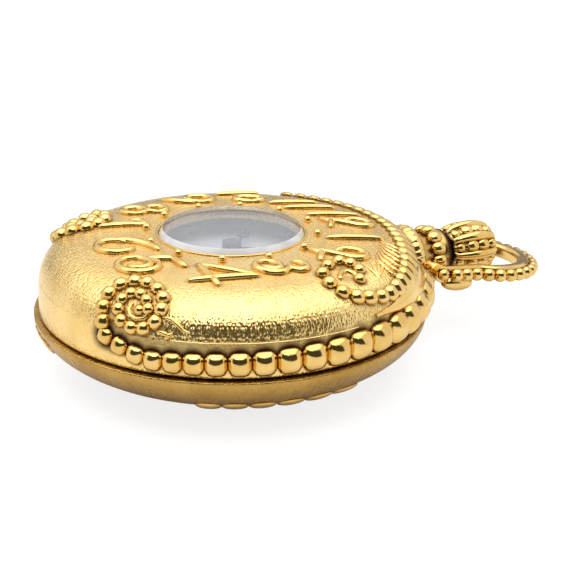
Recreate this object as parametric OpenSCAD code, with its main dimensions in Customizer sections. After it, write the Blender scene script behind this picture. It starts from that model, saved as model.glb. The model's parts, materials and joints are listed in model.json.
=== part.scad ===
// Half hunter pocket watch lying on its back, drawn in millimetres.
// The origin is the centre of the flat on the back, +Z rises through the dial,
// and +Y runs to twelve o'clock, the pendant and the bow.
// Row angles are counted from +X, so twelve o'clock is at 90 degrees.

/* [Case] */
// Outer radius of the lid at the seam
lid_r = 17.5; // [17.4:0.1:18]
// Step by which the back stands out past the lid
back_step = 0.5; // [0.4:0.05:0.7]
// Depth of the back from the seam to its lowest point, before the flat is cut
back_depth = 6.3; // [6.2:0.1:7]
// Depth of the flat cut on the back
foot_cut = 0.3; // [0.2:0.05:0.5]
// Wall of the back
back_wall = 0.8; // [0.6:0.05:0.9]
// Height of the dark groove between back and lid
seam_gap = 0.4; // [0.3:0.05:0.5]
// Width of the upright lip that the lid closes over
lip_w = 0.55; // [0.4:0.05:0.6]
// Height of the lip above the seam
lip_h = 1.4; // [1.2:0.1:1.6]

/* [Lid] */
// Height of the lid above the seam
lid_h = 6.57; // [6.5:0.05:7]
// Wall of the lid
lid_wall = 0.65; // [0.5:0.05:0.7]
// How square the lid's outline is across, as the power of a super-ellipse
lid_square_r = 5.8; // [5:0.1:6.5]
// How square the lid's outline is in height
lid_square_z = 4.1; // [3.8:0.1:4.5]
// Radius of the window in the lid
window_r = 6.1; // [5.9:0.1:6.2]
// Width of the seat cut round the window for its crystal
seat_w = 0.5; // [0.4:0.05:0.6]
// Depth of that seat
seat_depth = 0.35; // [0.25:0.05:0.4]
// Height of the window crystal's upright edge above the lid
crystal_side = 0.15; // [0.1:0.05:0.3]
// Width of the bevel round the window crystal
crystal_bevel_w = 0.85; // [0.5:0.05:1]
// Rise of that bevel
crystal_bevel_h = 0.4; // [0.2:0.05:0.5]
// Rise of the window crystal's dome above the bevel
crystal_dome = 0.12; // [0.1:0.02:0.2]
// Thickness of the window crystal
crystal_t = 0.5; // [0.4:0.05:0.6]
// Width of the gold ring round the window
bezel_w = 0.32; // [0.25:0.01:0.4]

/* [Hinge] */
// Radius of the hinge barrels
barrel_r = 0.75; // [0.65:0.05:0.8]
// Radius of the hinge pin
hinge_pin_r = 0.3; // [0.2:0.05:0.35]
// Length of the whole hinge
hinge_len = 9; // [8:0.5:11]
// Gap between the back's widest edge and the hinge barrels
hinge_gap = 0.2; // [0.15:0.05:0.3]

/* [Pendant and crown] */
// Height of the winding stem above the seam
stem_rise = 1.4; // [1.3:0.05:1.5]
// Radius of the neck where it enters the case
neck_r = 3; // [2.8:0.1:3.1]
// Radius of the ridged collar on the neck
collar_r = 3.25; // [3.2:0.05:3.4]
// Radius of the neck past the collar
throat_r = 2.35; // [2.3:0.05:2.5]
// Length of the neck past the lid
neck_len = 5.5; // [5.2:0.1:6]
// Radius of the bore through the neck
neck_bore_r = 1.6; // [1.5:0.05:1.7]
// Diameter of the granules round the neck
granule_d = 1.15; // [1:0.05:1.15]
// Radius of the winding stem
stem_r = 0.6; // [0.5:0.05:0.65]
// Length of the crown
crown_len = 5.2; // [4.8:0.1:5.6]
// Greatest radius of the crown's plain body
crown_r = 2.45; // [2.3:0.05:2.6]
// Radius of each rib on the crown
rib_r = 0.4; // [0.34:0.02:0.42]
// Number of smooth ribs on the crown
rib_count = 8; // [6:1:8]
// Travel of the crown when it is pressed to open the lid
press_travel = 0.4; // [0.3:0.05:0.45]
// Gap left between the neck and the crown when the crown is pressed
crown_clear = 0.15; // [0.1:0.05:0.3]

/* [Bow] */
// Inner radius of the bow
bow_inner_r = 4.35; // [4.25:0.05:4.5]
// Width of the bow's smooth band
bow_band_w = 1.2; // [1:0.05:1.3]
// Thickness of the bow's band
bow_band_t = 1.4; // [1.2:0.1:1.6]
// Diameter of the beads round the bow
bow_bead_d = 1.3; // [1.2:0.05:1.4]
// Number of beads round the bow
bow_beads_n = 20; // [16:1:20]
// Distance from the bow's pins to the centre of its ring
bow_reach = 7.1; // [7:0.1:7.5]
// Distance of each bow ear from the middle
ear_x = 4.3; // [4.25:0.05:4.45]
// Radius of the bow's pins
bow_pin_r = 0.3; // [0.25:0.05:0.35]
// Angle by which the bow hangs below level
bow_droop = 6; // [0:1:10]

/* [Dial side] */
// Radius of the dial
dial_r = 12.7; // [12:0.1:12.8]
// Thickness of the dial
dial_t = 0.3; // [0.2:0.05:0.4]
// Length of the hour hand
hour_len = 5.8; // [5:0.1:6]
// Length of the minute hand
minute_len = 10.4; // [9:0.1:11]
// Radius of the hub that caps the hands
hub_r = 0.87; // [0.8:0.01:0.95]

/* [Movement] */
// Radius of the main plate
plate_r = 11.9; // [11.8:0.05:12]
// Thickness of the main plate
plate_t = 1.1; // [1:0.05:1.2]
// Space between the main plate and the bridges
train_gap = 2; // [2:0.05:2.1]
// Thickness of the bridges
bridge_t = 0.6; // [0.5:0.05:0.7]
// Radius of the balance
balance_r = 2.9; // [2.6:0.1:2.9]

/* [Ornament] */
// Diameter of the smallest bead in each rope
bead_d = 1.08; // [0.96:0.04:1.12]
// Pitch of the first bead of the front rope's run along the rim
front_pitch = 1.4; // [1.3:0.05:1.5]
// Pitch of the last bead of that run
front_pitch_end = 2.8; // [2.6:0.05:2.85]
// Diameter of the wire that the numerals are bent from
wire_d = 0.66; // [0.5:0.02:0.8]
// Height of the numerals
digit_h = 4.8; // [4.4:0.1:5]
// Radius of the circle of hour dots
dot_ring_r = 7.8; // [7.6:0.1:8]
// Diameter of the hour dots
dot_d = 0.75; // [0.6:0.05:0.9]

/* [Hidden] */
$fn = 64;

// Clearances: round pieces that turn, pieces that are pressed or dropped in, and pieces that pass
run_fit = 0.05;
seat_fit = 0.03;
pass_gap = 0.1;

// Heights and radii of the case
seam_z = back_depth - foot_cut;
back_r = lid_r + back_step;
lid_low_z = seam_z + seam_gap;
lid_top_z = seam_z + lid_h;
lid_in_r = lid_r - lid_wall;
lid_in_h = lid_h - lid_wall - 0.05;
lip_r = lid_in_r - pass_gap;
lip_in_r = lip_r - lip_w;
lip_top_z = seam_z + lip_h;
back_in_r = back_r - back_wall;
back_in_depth = back_depth - back_wall;
shelf_z = seam_z - 1.1;
shelf_t = 0.7;
shelf_in_r = lip_in_r - 1.3;
cover_t = 0.3;
cover_rim = 0.2;

// The hinge lies level with the seam at nine o'clock
hinge_x = -(back_r + barrel_r + hinge_gap);
hinge_z = seam_z + 0.2;
leaf_t = 0.45;

// The stem, the neck and the crown share one axis
stem_z = seam_z + stem_rise;
neck_in_y = lip_in_r + 0.15;
collar_y = lid_r + 0.7;
collar_len = 1.15;
neck_end_y = lid_r + neck_len;
granule_y = neck_end_y - 1.55;
granule_ring_r = throat_r + 0.08;
granule_n = floor(360 / (2 * asin(granule_d * 1.02 / 2 / granule_ring_r)));
crown_y = neck_end_y + press_travel + crown_clear;
crown_mid_y = crown_y + crown_len / 2;
crown_off = 3;
crown_arc_r = crown_r + crown_off;
rib_beads = 4;
sleeve_r = neck_bore_r - run_fit;
sleeve_in_r = 1.15;
sleeve_y0 = collar_y + 0.3;
sleeve_y1 = neck_end_y - 0.1;

// The bow turns on two pins in the neck
bow_y = collar_y + collar_len + 0.95;
bow_z = stem_z - 0.5;
ear_t = 0.9;
ear_r = 0.85;
boss_r = 0.75;
boss_x = ear_x - ear_t / 2 - 0.12;
bow_ring_r = bow_inner_r + bow_band_w / 2;
bow_bead_sink = 0.38;
bow_bead_ring_r = bow_inner_r + bow_band_w + bow_bead_sink;
// Each leg swells under its ear, and carries beads between the ear and the ring
swell_r = 0.8;
swell_y = [0.9, 2.9];
leg_bead_y = [1.35, 2.55, 3.75];
bow_leg_y = bow_reach - sqrt(pow(bow_ring_r, 2) - pow(ear_x, 2));
bow_open = asin(ear_x / bow_ring_r);

// Heights of the movement, which lies dial side up under the lid
plate_z = stem_z + 0.1;
plate_top_z = plate_z + plate_t;
bridge_top_z = plate_z - train_gap;
bridge_z = bridge_top_z - bridge_t;
dial_z = plate_top_z + 1;
dial_top_z = dial_z + dial_t;
ring_in_r = plate_r + pass_gap;
ring_r = lip_in_r - 0.2;
ledge_r = plate_r - 1.2;

// The inner crystal lies close under the lid, and the hands close under that crystal
inner_crystal_t = 0.3;
inner_crystal_z = seam_z + lid_in_h - 0.15 - inner_crystal_t;
inner_crystal_dome = 0.4;
hub_top_z = inner_crystal_z + inner_crystal_dome - 0.15;
hand_t = 0.15;
minute_hand_z = inner_crystal_z - 0.5;
hour_hand_z = minute_hand_z - 0.3;
inner_bezel_h = 1.3;
foot_in_r = dial_r + 0.2;
foot_r = foot_in_r + 0.45;

// Wheel work: teeth, module, and the direction in which each wheel lies from the last
barrel_teeth = 72;
barrel_mod = 0.145;
centre_pinion_teeth = 10;
barrel_dir = 150;
centre_teeth = 64;
centre_mod = 0.12;
third_pinion_teeth = 8;
third_dir = -60;
third_teeth = 60;
third_mod = 0.11;
fourth_pinion_teeth = 8;
fourth_dir = 200;
fourth_teeth = 60;
fourth_mod = 0.1;
escape_pinion_teeth = 6;
escape_dir = -43;
escape_teeth = 15;
escape_r = 2;
pallet_dir = 12;
pallet_reach = 2.5;
balance_dir = 45;
balance_reach = 3.2;
ratchet_teeth = 36;
crown_wheel_teeth = 22;
keyless_mod = 0.2;
motion_dir = 225;
cannon_teeth = 12;
minute_teeth = 36;
minute_mod = 0.125;
minute_pinion_teeth = 10;
hour_teeth = 40;
hour_mod = 0.12;
function polar(r, a) = [r * cos(a), r * sin(a)];
function mesh_gap(n1, n2, m) = (n1 + n2) * m / 2;
barrel_at = polar(mesh_gap(barrel_teeth, centre_pinion_teeth, barrel_mod), barrel_dir);
third_at = polar(mesh_gap(centre_teeth, third_pinion_teeth, centre_mod), third_dir);
fourth_at = third_at + polar(mesh_gap(third_teeth, fourth_pinion_teeth, third_mod), fourth_dir);
escape_at = fourth_at + polar(mesh_gap(fourth_teeth, escape_pinion_teeth, fourth_mod), escape_dir);
pallet_at = escape_at + polar(pallet_reach, pallet_dir);
balance_at = pallet_at + polar(balance_reach, balance_dir);
keyless_gap = mesh_gap(ratchet_teeth, crown_wheel_teeth, keyless_mod);
crown_wheel_at = [0, barrel_at[1] + sqrt(pow(keyless_gap, 2) - pow(barrel_at[0], 2))];
motion_at = polar(mesh_gap(cannon_teeth, minute_teeth, minute_mod), motion_dir);
pivot_r = 0.1;
arbor_r = 0.2;
thick_arbor_r = 0.5;
click_arbor_r = 0.3;
jewel_r = 0.5;
jewel_hole_r = 0.13;

// Levels of the wheels above the bridges, each with its thickness
ratchet_lvl = [0.1, 0.3];
third_lvl = [0.2, 0.2];
barrel_lvl = [0.5, 0.9];
balance_lvl = [0.55, 0.4];
fourth_lvl = [0.75, 0.15];
escape_lvl = [1.1, 0.15];
centre_lvl = [1.55, 0.2];
pinion_r = 1.3;
pinion_y = crown_wheel_at[1] + 2.0;
pinion_len = 1;

// Pillars of the bridges and screws of the movement, as distance from the centre and row angle
pillar_ring_r = plate_r - 1.3;
pillar_r = 0.7;
barrel_pillars = [108, 62, 183];
train_pillars = [215, 262];
cock_pillars = [345];
cock_pocket_r = balance_r + 0.5;
cock_head_r = 2;
cock_arm_w = 1.8;
bridge_split = -1.8;
case_screw_ring_r = plate_r - 0.6;
case_screw_rows = [25, 135, 300];
screw_r = 0.35;
screw_head_r = 0.6;

// The catch that holds the lid lies at three o'clock
catch_w = 1.4;
catch_z = seam_z + 0.75;
catch_t = 0.55;
catch_travel = 0.35;
catch_len = 2.2;
catch_tip_x = lip_r - 0.05;

// The lid's outer surface: radius and height along a meridian, and the way along it from the seam
function lid_pt(u, r, h) = let (t = 90 * u * u * (3 - 2 * u))
    [r * pow(cos(t), 2 / lid_square_r), h * pow(sin(t), 2 / lid_square_z)];
function lid_rise(r) = lid_h * pow(max(0, 1 - pow(r / lid_r, lid_square_r)), 1 / lid_square_z);
function lid_width(h) = lid_r * pow(max(0, 1 - pow(h / lid_h, lid_square_z)), 1 / lid_square_r);
mer_n = 60;
mer = [for (i = [0:mer_n]) lid_pt(i / mer_n, lid_r, lid_h)];
function run_len(p, i) = i == 0 ? 0 : norm(p[i] - p[i - 1]);
mer_way = [for (i = 0, s = 0; i <= mer_n; i = i + 1, s = s + (i <= mer_n ? run_len(mer, i) : 0)) s];
way_to_r = [for (i = [0:mer_n]) [mer_way[i], mer[i][0]]];
way_to_z = [for (i = [0:mer_n]) [mer_way[i], mer[i][1]]];
r_to_way = [for (i = [mer_n:-1:0]) [mer[i][0], mer_way[i]]];
function on_lid(row, way) = let (r = lookup(way, way_to_r))
    [r * cos(row), r * sin(row), seam_z + lookup(way, way_to_z)];

// A rope is a line of beads that starts at the middle of a rolled head and leaves it for its run.
// A head is its centre, as row angle and way up the lid, and its outer and inner radius. It is
// rolled to one hand or the other, from the angle at which its outer turn meets the run.
head_sweep = 600;
bead_room = 1.07;
head_flare = 0.35;
function head_r(k, out, in) = let (t = min(1, max(0, (k - 230) / 170)))
    out - (out - in) * t * t * (3 - 2 * t) + head_flare * max(0, 1 - k / 90);
function head_pts(head, a0, hand) =
    [for (k = [head_sweep:-10:0])
        let (r = head_r(k, head[2], head[3]), a = a0 - hand * k, way = head[1] + r * sin(a))
        [head[0] + r * cos(a) / lookup(way, way_to_r) * 180 / PI, way]];
front_head = [306.4, r_way(16.5), 2.4, 1.2];
side_head = [17.5, r_way(14.2), 2.3, 1.15];
back_head = [230, r_way(14.6), 2.3, 1.15];
function r_way(r) = lookup(r, r_to_way);
// The runs, as row angle and distance from the lid's axis, were laid out by eye
side_run = [[21, 16.65], [28, 16.8], [35, 16.8], [42, 16.7], [48, 16.55], [55, 16.25], [62, 16.05],
            [70, 16], [80, 16.1], [92, 16.3], [104, 16.4], [116, 16.5], [128, 16.6], [140, 16.8]];
back_run = [[226, 16.9], [217, 17.1], [206, 17.15], [194, 17.15], [180, 17.1], [165, 17.1]];
side_line = concat(head_pts(side_head, 250, 1),
                   [for (p = side_run) [p[0], r_way(p[1])]]);
back_line = concat(head_pts(back_head, -70, -1),
                   [for (p = back_run) [p[0], r_way(p[1])]]);
front_line = concat(head_pts(front_head, 200, 1), [[298.9, 3.9]]);

// Beads at a pitch that grows evenly along a line of [row angle, way] points on the lid
function line_way(l) = let (q = [for (p = l) on_lid(p[0], p[1])])
    [for (i = 0, s = 0; i < len(q); i = i + 1, s = s + (i < len(q) ? run_len(q, i) : 0)) s];
function bead_spots(l, pitch, grow) =
    let (w = line_way(l), end = w[len(w) - 1],
         rows = [for (i = [0:len(l) - 1]) [w[i], l[i][0]]],
         ways = [for (i = [0:len(l) - 1]) [w[i], l[i][1]]])
    [for (k = 0, s = pitch / 2; s < end; k = k + 1, s = s + pitch + grow * k)
        concat(on_lid(lookup(s, rows), lookup(s, ways)), (pitch + grow * k) / bead_room)];
rim_start_row = 300.5;
rim_beads = 18;
rim_grow = (front_pitch_end - front_pitch) / rim_beads;
// The first beads of the run climb from the rim towards the head
rim_climb = 1.35;
rim_climb_n = 3;

// Parts of the numerals, in shares of their height from their own middle
stroke_n = 12;
function arc(cx, cy, rx, ry, a0, a1) = [for (i = [0:stroke_n]) let (a = a0 + (a1 - a0) * i / stroke_n)
    [cx + rx * cos(a), cy + ry * sin(a)]];
one = [[[0, -0.5], [0, 0], [0, 0.5]]];
two = [concat(arc(0, 0.24, 0.24, 0.26, 230, -50), [[-0.3, -0.44]]),
       [[-0.3, -0.44], [-0.02, -0.34], [0.3, -0.5]]];
three = [arc(0, 0.3, 0.24, 0.2, 160, -80), arc(0, -0.2, 0.33, 0.3, 85, -200)];
four = [[[0.14, 0.5], [-0.42, -0.15]], [[-0.44, -0.17], [0.36, -0.17]], [[0.14, 0.5], [0.14, -0.5]]];
five = [[[0.24, 0.5], [-0.16, 0.44]], [[-0.16, 0.44], [-0.22, 0.06]], arc(0, -0.18, 0.34, 0.32, 130, -190)];
six = [arc(0, -0.18, 0.36, 0.32, 130, 470), arc(0.5, -0.18, 0.86, 0.68, 175, 100)];
seven = [[[-0.28, 0.3], [-0.2, 0.5], [0.1, 0.5]], [[0.1, 0.5], [0, 0.05], [-0.06, -0.5]]];
eight = [arc(0, 0.25, 0.23, 0.23, 0, 354), arc(0, -0.24, 0.27, 0.26, 0, 354)];
nine = [arc(0, 0.2, 0.28, 0.28, 0, 354), arc(-0.3, 0.1, 0.58, 0.62, -10, -80)];
zero = [arc(0, 0, 0.34, 0.48, 0, 354)];
// Each numeral with the place of its middle on the lid, and its share of the full height
digits = [[one, -0.95, 11.15, 1], [two, 1.7, 11.1, 0.9], [one, 5.85, 9.6, 1], [two, 9.1, 6.1, 0.93],
          [three, 10.1, 0, 0.84], [four, 9.6, -5.35, 1.1], [five, 4.9, -9.75, 1.02],
          [six, -0.2, -10.1, 0.95], [seven, -5.7, -8.4, 0.78], [eight, -9.3, -4.95, 0.85],
          [nine, -10.9, 0.3, 0.9], [one, -11.3, 5.7, 0.8], [zero, -8.6, 5.7, 0.55],
          [one, -5.95, 9.35, 0.9], [one, -3.85, 10.05, 0.95]];
// The numerals lean to the right by this share of their height
digit_lean = 0.28;
function lean(p) = [p[0] + digit_lean * p[1], p[1]];

// General shapes
module rod(y0, y1, r, n = 48) {
    translate([0, y0, 0]) rotate([-90, 0, 0]) cylinder(h = y1 - y0, r = r, $fn = n);
}
module cross_rod(x0, x1, r) {
    translate([x0, 0, 0]) rotate([0, 90, 0]) cylinder(h = x1 - x0, r = r);
}
module tube(r_in, r_out, z0, z1) {
    rotate_extrude() translate([r_in, z0]) square([r_out - r_in, z1 - z0]);
}
module gear_2d(n, m) {
    tooth = [[-0.26, -1.15], [-0.1, 0.7], [0.1, 0.7], [0.26, -1.15]];
    polygon([for (i = [0:n - 1]) for (p = tooth) polar(n * m / 2 + p[1] * m, 360 / n * (i + p[0]))]);
}
module wheel_2d(n, m, bore, spokes) {
    rim = n * m / 2 - 2.4 * m;
    hub = bore + 0.3;
    difference() {
        gear_2d(n, m);
        circle(r = bore, $fn = 12);
        for (i = [0:spokes - 1]) rotate(360 / spokes * (i + 0.5)) spoke_gap(hub, rim, 180 / spokes);
    }
}
// A window between two spokes, as wide as the spokes leave it
module spoke_gap(hub, rim, half) {
    edge = 0.16;
    a_in = half - asin(min(0.9, edge / (hub + edge)));
    a_out = half - asin(edge / rim);
    polygon(concat([for (i = [-2:2]) polar(hub + edge, a_in * i / 2)],
                   [for (i = [4:-1:-4]) polar(rim, a_out * i / 4)]));
}
module arbor(z0, z1, r) {
    translate([0, 0, z0]) cylinder(h = z1 - z0, r = r, $fn = 12);
}
// A wire of six sides laid on the lid along points in the plan
module lid_wire(pts, r) {
    n = len(pts);
    sides = 6;
    function ahead(i) = pts[min(n - 1, i + 1)] - pts[max(0, i - 1)];
    ring = [for (i = [0:n - 1]) let (d = ahead(i) / norm(ahead(i)), p = pts[i],
                 c = [p[0], p[1], seam_z + lid_rise(norm(p))])
            for (j = [0:sides - 1]) let (a = 360 / sides * (j + 0.5))
                c + r * [-d[1] * cos(a), d[0] * cos(a), sin(a)]];
    walls = [for (i = [0:n - 2]) for (j = [0:sides - 1])
                let (a = i * sides + j, b = i * sides + (j + 1) % sides)
                each [[a, a + sides, b + sides], [a, b + sides, b]]];
    caps = [for (j = [1:sides - 2]) each [[0, j, j + 1],
            [(n - 1) * sides, (n - 1) * sides + j + 1, (n - 1) * sides + j]]];
    polyhedron(ring, concat(walls, caps));
}
// Outline of the back's bowl, outside or inside
function bowl(r, depth, low_z, n) = let (a1 = asin((seam_z - low_z) / depth))
    [for (i = [0:n]) let (a = a1 * (1 - i / n)) [r * cos(a), seam_z - depth * sin(a)]];

// The case and what is fixed in it
module back_shell() {
    color("#B89545") difference() {
        rotate_extrude() polygon(concat([[0, 0]], bowl(back_r, back_depth, 0, 14),
            [[lip_r, seam_z], [lip_r, lip_top_z], [lip_in_r, lip_top_z], [lip_in_r, shelf_z],
             [shelf_in_r, shelf_z], [shelf_in_r, shelf_z - shelf_t]],
            bowl_inside(), [[0, back_wall]]));
        translate([0, 0, stem_z]) rod(shelf_in_r - 1, back_r + 1, neck_r);
        catch_slot();
    }
}
// The bowl's inside runs from under the shelf down to the flat floor
function bowl_inside() = let (a0 = asin((seam_z - shelf_z + shelf_t) / back_in_depth),
                              a1 = asin((seam_z - back_wall) / back_in_depth))
    [for (i = [0:9]) let (a = a0 + (a1 - a0) * i / 9)
        [back_in_r * cos(a), seam_z - back_in_depth * sin(a)]];
module catch_slot() {
    translate([catch_tip_x - catch_len - 0.4, -catch_w / 2 - pass_gap, catch_z - pass_gap])
        cube([catch_len + 1, catch_w + 2 * pass_gap, catch_t + 4 * pass_gap]);
}
// Low bumps on the bowl, sunk so that each stands only a little proud, and cut off inside the wall
function back_width(z) = back_r * sqrt(1 - pow((seam_z - z) / back_depth, 2));
module back_beads(row0, step, z, d0, grow, n, proud) {
    steep = atan2((seam_z - z) / pow(back_depth, 2), back_width(z) / pow(back_r, 2));
    difference() {
        for (i = [0:n - 1]) {
            sink = (d0 + grow * i) / 2 - proud;
            rotate([0, 0, row0 + i * step * (1 + i * 0.03)])
                translate([back_width(z) - sink * cos(steep), 0, z + sink * sin(steep)])
                    sphere(d = d0 + grow * i);
        }
        rotate_extrude() polygon(concat([[0, back_wall / 2]],
            bowl(back_r - back_wall / 2, back_depth - back_wall / 2, back_wall / 2, 9), [[0, seam_z]]));
    }
}
module back_rope_front() {
    color("#C9A355") back_beads(329, 7.6, 2.9, 2.2, 0.05, 6, 0.3);
}
module back_rope_left() {
    color("#C9A355") back_beads(251, 4.6, 4.6, 1.7, 0.02, 5, 0.2);
}
module pendant_neck() {
    ridges = 24;
    color("#D8B46A") translate([0, 0, stem_z]) difference() {
        union() {
            rod(neck_in_y, neck_end_y - 0.01, throat_r);
            rod(neck_in_y, collar_y + 0.1, neck_r);
            rotate([-90, 0, 0]) translate([0, 0, collar_y]) linear_extrude(collar_len)
                polygon([for (i = [0:4 * ridges - 1])
                    polar(collar_r - (i % 4 < 2 ? 0 : 0.18), 360 / (4 * ridges) * i)]);
            translate([0, bow_y, bow_z - stem_z]) cross_rod(-boss_x, boss_x, boss_r);
        }
        rod(neck_in_y - 1, neck_end_y + 1, neck_bore_r);
        for (s = [-1, 1]) translate([0, bow_y, bow_z - stem_z]) scale([s, 1, 1])
            cross_rod(neck_bore_r, boss_x + 1, bow_pin_r + seat_fit);
    }
}
module neck_granules() {
    color("#E2C078") for (i = [0:granule_n - 1])
        translate([0, granule_y, stem_z]) rotate([0, 360 / granule_n * i, 0])
            translate([granule_ring_r, 0, 0]) sphere(d = granule_d);
}
module bow_pins() {
    color("#C9A355") for (s = [0, 1]) mirror([s, 0, 0]) translate([0, bow_y, bow_z]) {
        cross_rod(neck_bore_r + 0.4, ear_x + ear_t / 2 + 0.1, bow_pin_r);
        cross_rod(ear_x + ear_t / 2 + 0.1, ear_x + ear_t / 2 + 0.35, bow_pin_r + 0.25);
    }
}
// The hinge has five barrels, three on the case and two on the lid
knuckle = (hinge_len - 0.4) / 5;
module knuckles(which, leaf_z, leaf_x) {
    difference() {
        for (i = which) {
            y0 = -hinge_len / 2 + i * (knuckle + pass_gap);
            translate([hinge_x, 0, hinge_z]) rod(y0, y0 + knuckle, barrel_r);
            translate([hinge_x, y0, leaf_z]) cube([leaf_x - hinge_x, knuckle, leaf_t]);
        }
        translate([hinge_x, 0, hinge_z]) rod(-hinge_len, hinge_len, hinge_pin_r + run_fit);
    }
}
module case_hinge_barrels() {
    color("#B89545") knuckles([0, 2, 4], seam_z - leaf_t - 0.05, -back_r + 0.7);
}
module hinge_pin() {
    color("#8A8C90") translate([hinge_x, 0, hinge_z])
        rod(-hinge_len / 2 - 0.1, hinge_len / 2 + 0.1, hinge_pin_r);
}
// A bent blade rests in the movement ring's slot behind the catch
module catch_spring() {
    color("#8E9AA8") translate([catch_tip_x - catch_len - catch_travel - 0.25, -catch_w / 2, catch_z + 0.1])
        cube([0.15, catch_w, catch_t - 0.2]);
}
module movement_ring() {
    color("#C8AE74") difference() {
        rotate_extrude() polygon([[ring_in_r, shelf_z], [ring_r, shelf_z], [ring_r, dial_z],
            [ledge_r, dial_z], [ledge_r, plate_top_z], [ring_in_r, plate_top_z]]);
        translate([0, 0, stem_z]) rod(ledge_r - 1, ring_r + 1, stem_r + 0.3);
        translate([-catch_travel - 0.1, 0, 0]) catch_slot();
        for (a = case_screw_rows) rotate([0, 0, a]) translate([case_screw_ring_r, 0, plate_top_z - 1])
            cylinder(h = 1.6, r = screw_r + seat_fit);
    }
}
module dust_cover() {
    top = shelf_z - shelf_t;
    low = top - cover_t - cover_rim;
    color("#D2B064") rotate_extrude() polygon([[0, low], [shelf_in_r - cover_rim, low],
        [shelf_in_r + cover_t, low + cover_t], [shelf_in_r + cover_t, top], [shelf_in_r - 0.1, top],
        [shelf_in_r - 0.4, low + cover_t], [0, low + cover_t]]);
}
module inner_bezel() {
    seat_z = dial_z + 0.55;
    color("#D8B46A") rotate_extrude() polygon([[dial_r + pass_gap, dial_z], [foot_r + 0.9, dial_z],
        [foot_r + 0.9, dial_z + inner_bezel_h - 0.2], [foot_r + 0.7, dial_z + inner_bezel_h],
        [foot_r + seat_fit, dial_z + inner_bezel_h], [foot_r + seat_fit, seat_z],
        [dial_r + pass_gap, seat_z]]);
}
// The inner crystal rises in a low dome into the lid's window, round the hub
module dial_crystal() {
    seat_z = dial_z + 0.55;
    t = inner_crystal_t;
    top = inner_crystal_z + t;
    function swell(r) = inner_crystal_dome * pow(cos(min(90, 90 * r / (window_r - 0.4))), 1.5);
    rise = [for (i = [0:6]) (window_r - 0.4) * i / 6];
    color("#DDE8EE80") rotate_extrude() polygon(concat([for (r = rise) [r, top + swell(r)]],
        [[9.5, top - 0.03], [foot_r - 1.3, top - 0.4], [foot_r, top - 0.9], [foot_r, seat_z],
         [foot_in_r, seat_z], [foot_in_r, top - 1.1], [foot_r - 1.5, top - 0.72], [9.4, top - t - 0.03]],
        [for (i = [6:-1:0]) [rise[i], top - t + swell(rise[i])]]));
}
module dial() {
    color("#E8ECF4") difference() {
        translate([0, 0, dial_z]) cylinder(h = dial_t, r = dial_r);
        translate([0, 0, dial_z - 1]) cylinder(h = 3, r = 1);
    }
}
module dial_markers() {
    color("#2E3038") for (i = [0:11]) rotate([0, 0, 30 * i])
        translate([dial_r - 2.4, -0.15, dial_top_z]) cube([1.7, 0.3, 0.06]);
}

// Plates and bridges, and holes right through them at a place in the plan
module plate_hole(p, r) {
    translate([p[0], p[1], plate_z - plate_t]) cylinder(h = 3 * plate_t, r = r);
}
module bridge_hole(p, r) {
    translate([p[0], p[1], bridge_z - bridge_t]) cylinder(h = 3 * bridge_t, r = r);
}
module pillar_holes(rows, z0, z1, r) {
    for (a = rows) rotate([0, 0, a]) translate([pillar_ring_r, 0, z0]) cylinder(h = z1 - z0, r = r);
}
jewel_spots = [third_at, fourth_at, escape_at, pallet_at, balance_at];
module main_plate() {
    color("#D9C58E") difference() {
        translate([0, 0, plate_z]) cylinder(h = plate_t, r = plate_r);
        plate_hole([0, 0], arbor_r + 0.15);
        for (p = jewel_spots) plate_hole(p, jewel_r);
        plate_hole(barrel_at, thick_arbor_r + run_fit);
        translate([0, 0, stem_z]) rod(crown_wheel_at[1], plate_r + 1, stem_r + 0.15);
        translate([-pinion_r - 0.2, pinion_y - 0.2, plate_z - 1])
            cube([2 * pinion_r + 0.4, pinion_len + 0.4, 4]);
        pillar_holes(concat(barrel_pillars, train_pillars, cock_pillars), plate_z - 1, plate_z + 0.7,
                     screw_r + seat_fit);
        for (a = case_screw_rows) rotate([0, 0, a]) translate([case_screw_ring_r, 0, plate_z - 1])
            cylinder(h = 4, r = screw_r + seat_fit);
    }
    color("#C8CCD2") translate([motion_at[0], motion_at[1], plate_top_z - 0.2])
        cylinder(h = 0.95, r = 0.28);
}
// Plan of the balance cock: a round head over the balance and an arm to its pillar
module cock_2d() {
    foot = polar(pillar_ring_r, cock_pillars[0]);
    arm = foot - balance_at;
    translate(balance_at) circle(r = cock_head_r);
    translate(foot) circle(r = cock_arm_w / 2 + 0.1);
    translate(balance_at) rotate(atan2(arm[1], arm[0])) translate([0, -cock_arm_w / 2])
        square([norm(arm), cock_arm_w]);
}
module bridge_body(rows) {
    difference() {
        union() {
            translate([0, 0, bridge_z]) linear_extrude(bridge_t) children();
            pillar_holes(rows, bridge_z, plate_z, pillar_r);
        }
        pillar_holes(rows, bridge_z - 1, plate_z + 1, screw_r + seat_fit);
        pillar_holes(rows, bridge_z - 1, bridge_z + 0.25, screw_head_r + pass_gap);
        for (p = jewel_spots) bridge_hole(p, jewel_r);
        bridge_hole([0, 0], pivot_r + run_fit);
        for (p = [barrel_at, crown_wheel_at]) bridge_hole(p, thick_arbor_r + run_fit);
        bridge_hole(barrel_at + polar(click_reach, click_row), click_arbor_r + run_fit);
    }
}
module barrel_bridge() {
    color("#CDB97F") bridge_body(barrel_pillars) difference() {
        circle(r = plate_r - 0.4);
        translate([-2 * plate_r, bridge_split - 2 * plate_r + 0.2]) square([4 * plate_r, 2 * plate_r]);
        translate(balance_at) circle(r = cock_pocket_r);
    }
}
module train_bridge() {
    color("#CDB97F") bridge_body(train_pillars) difference() {
        circle(r = plate_r - 0.4);
        translate([-2 * plate_r, bridge_split - 0.2]) square([4 * plate_r, 2 * plate_r]);
        translate(balance_at) circle(r = cock_pocket_r);
        translate([balance_at[0], -2 * plate_r]) square(2 * plate_r);
    }
}
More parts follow.
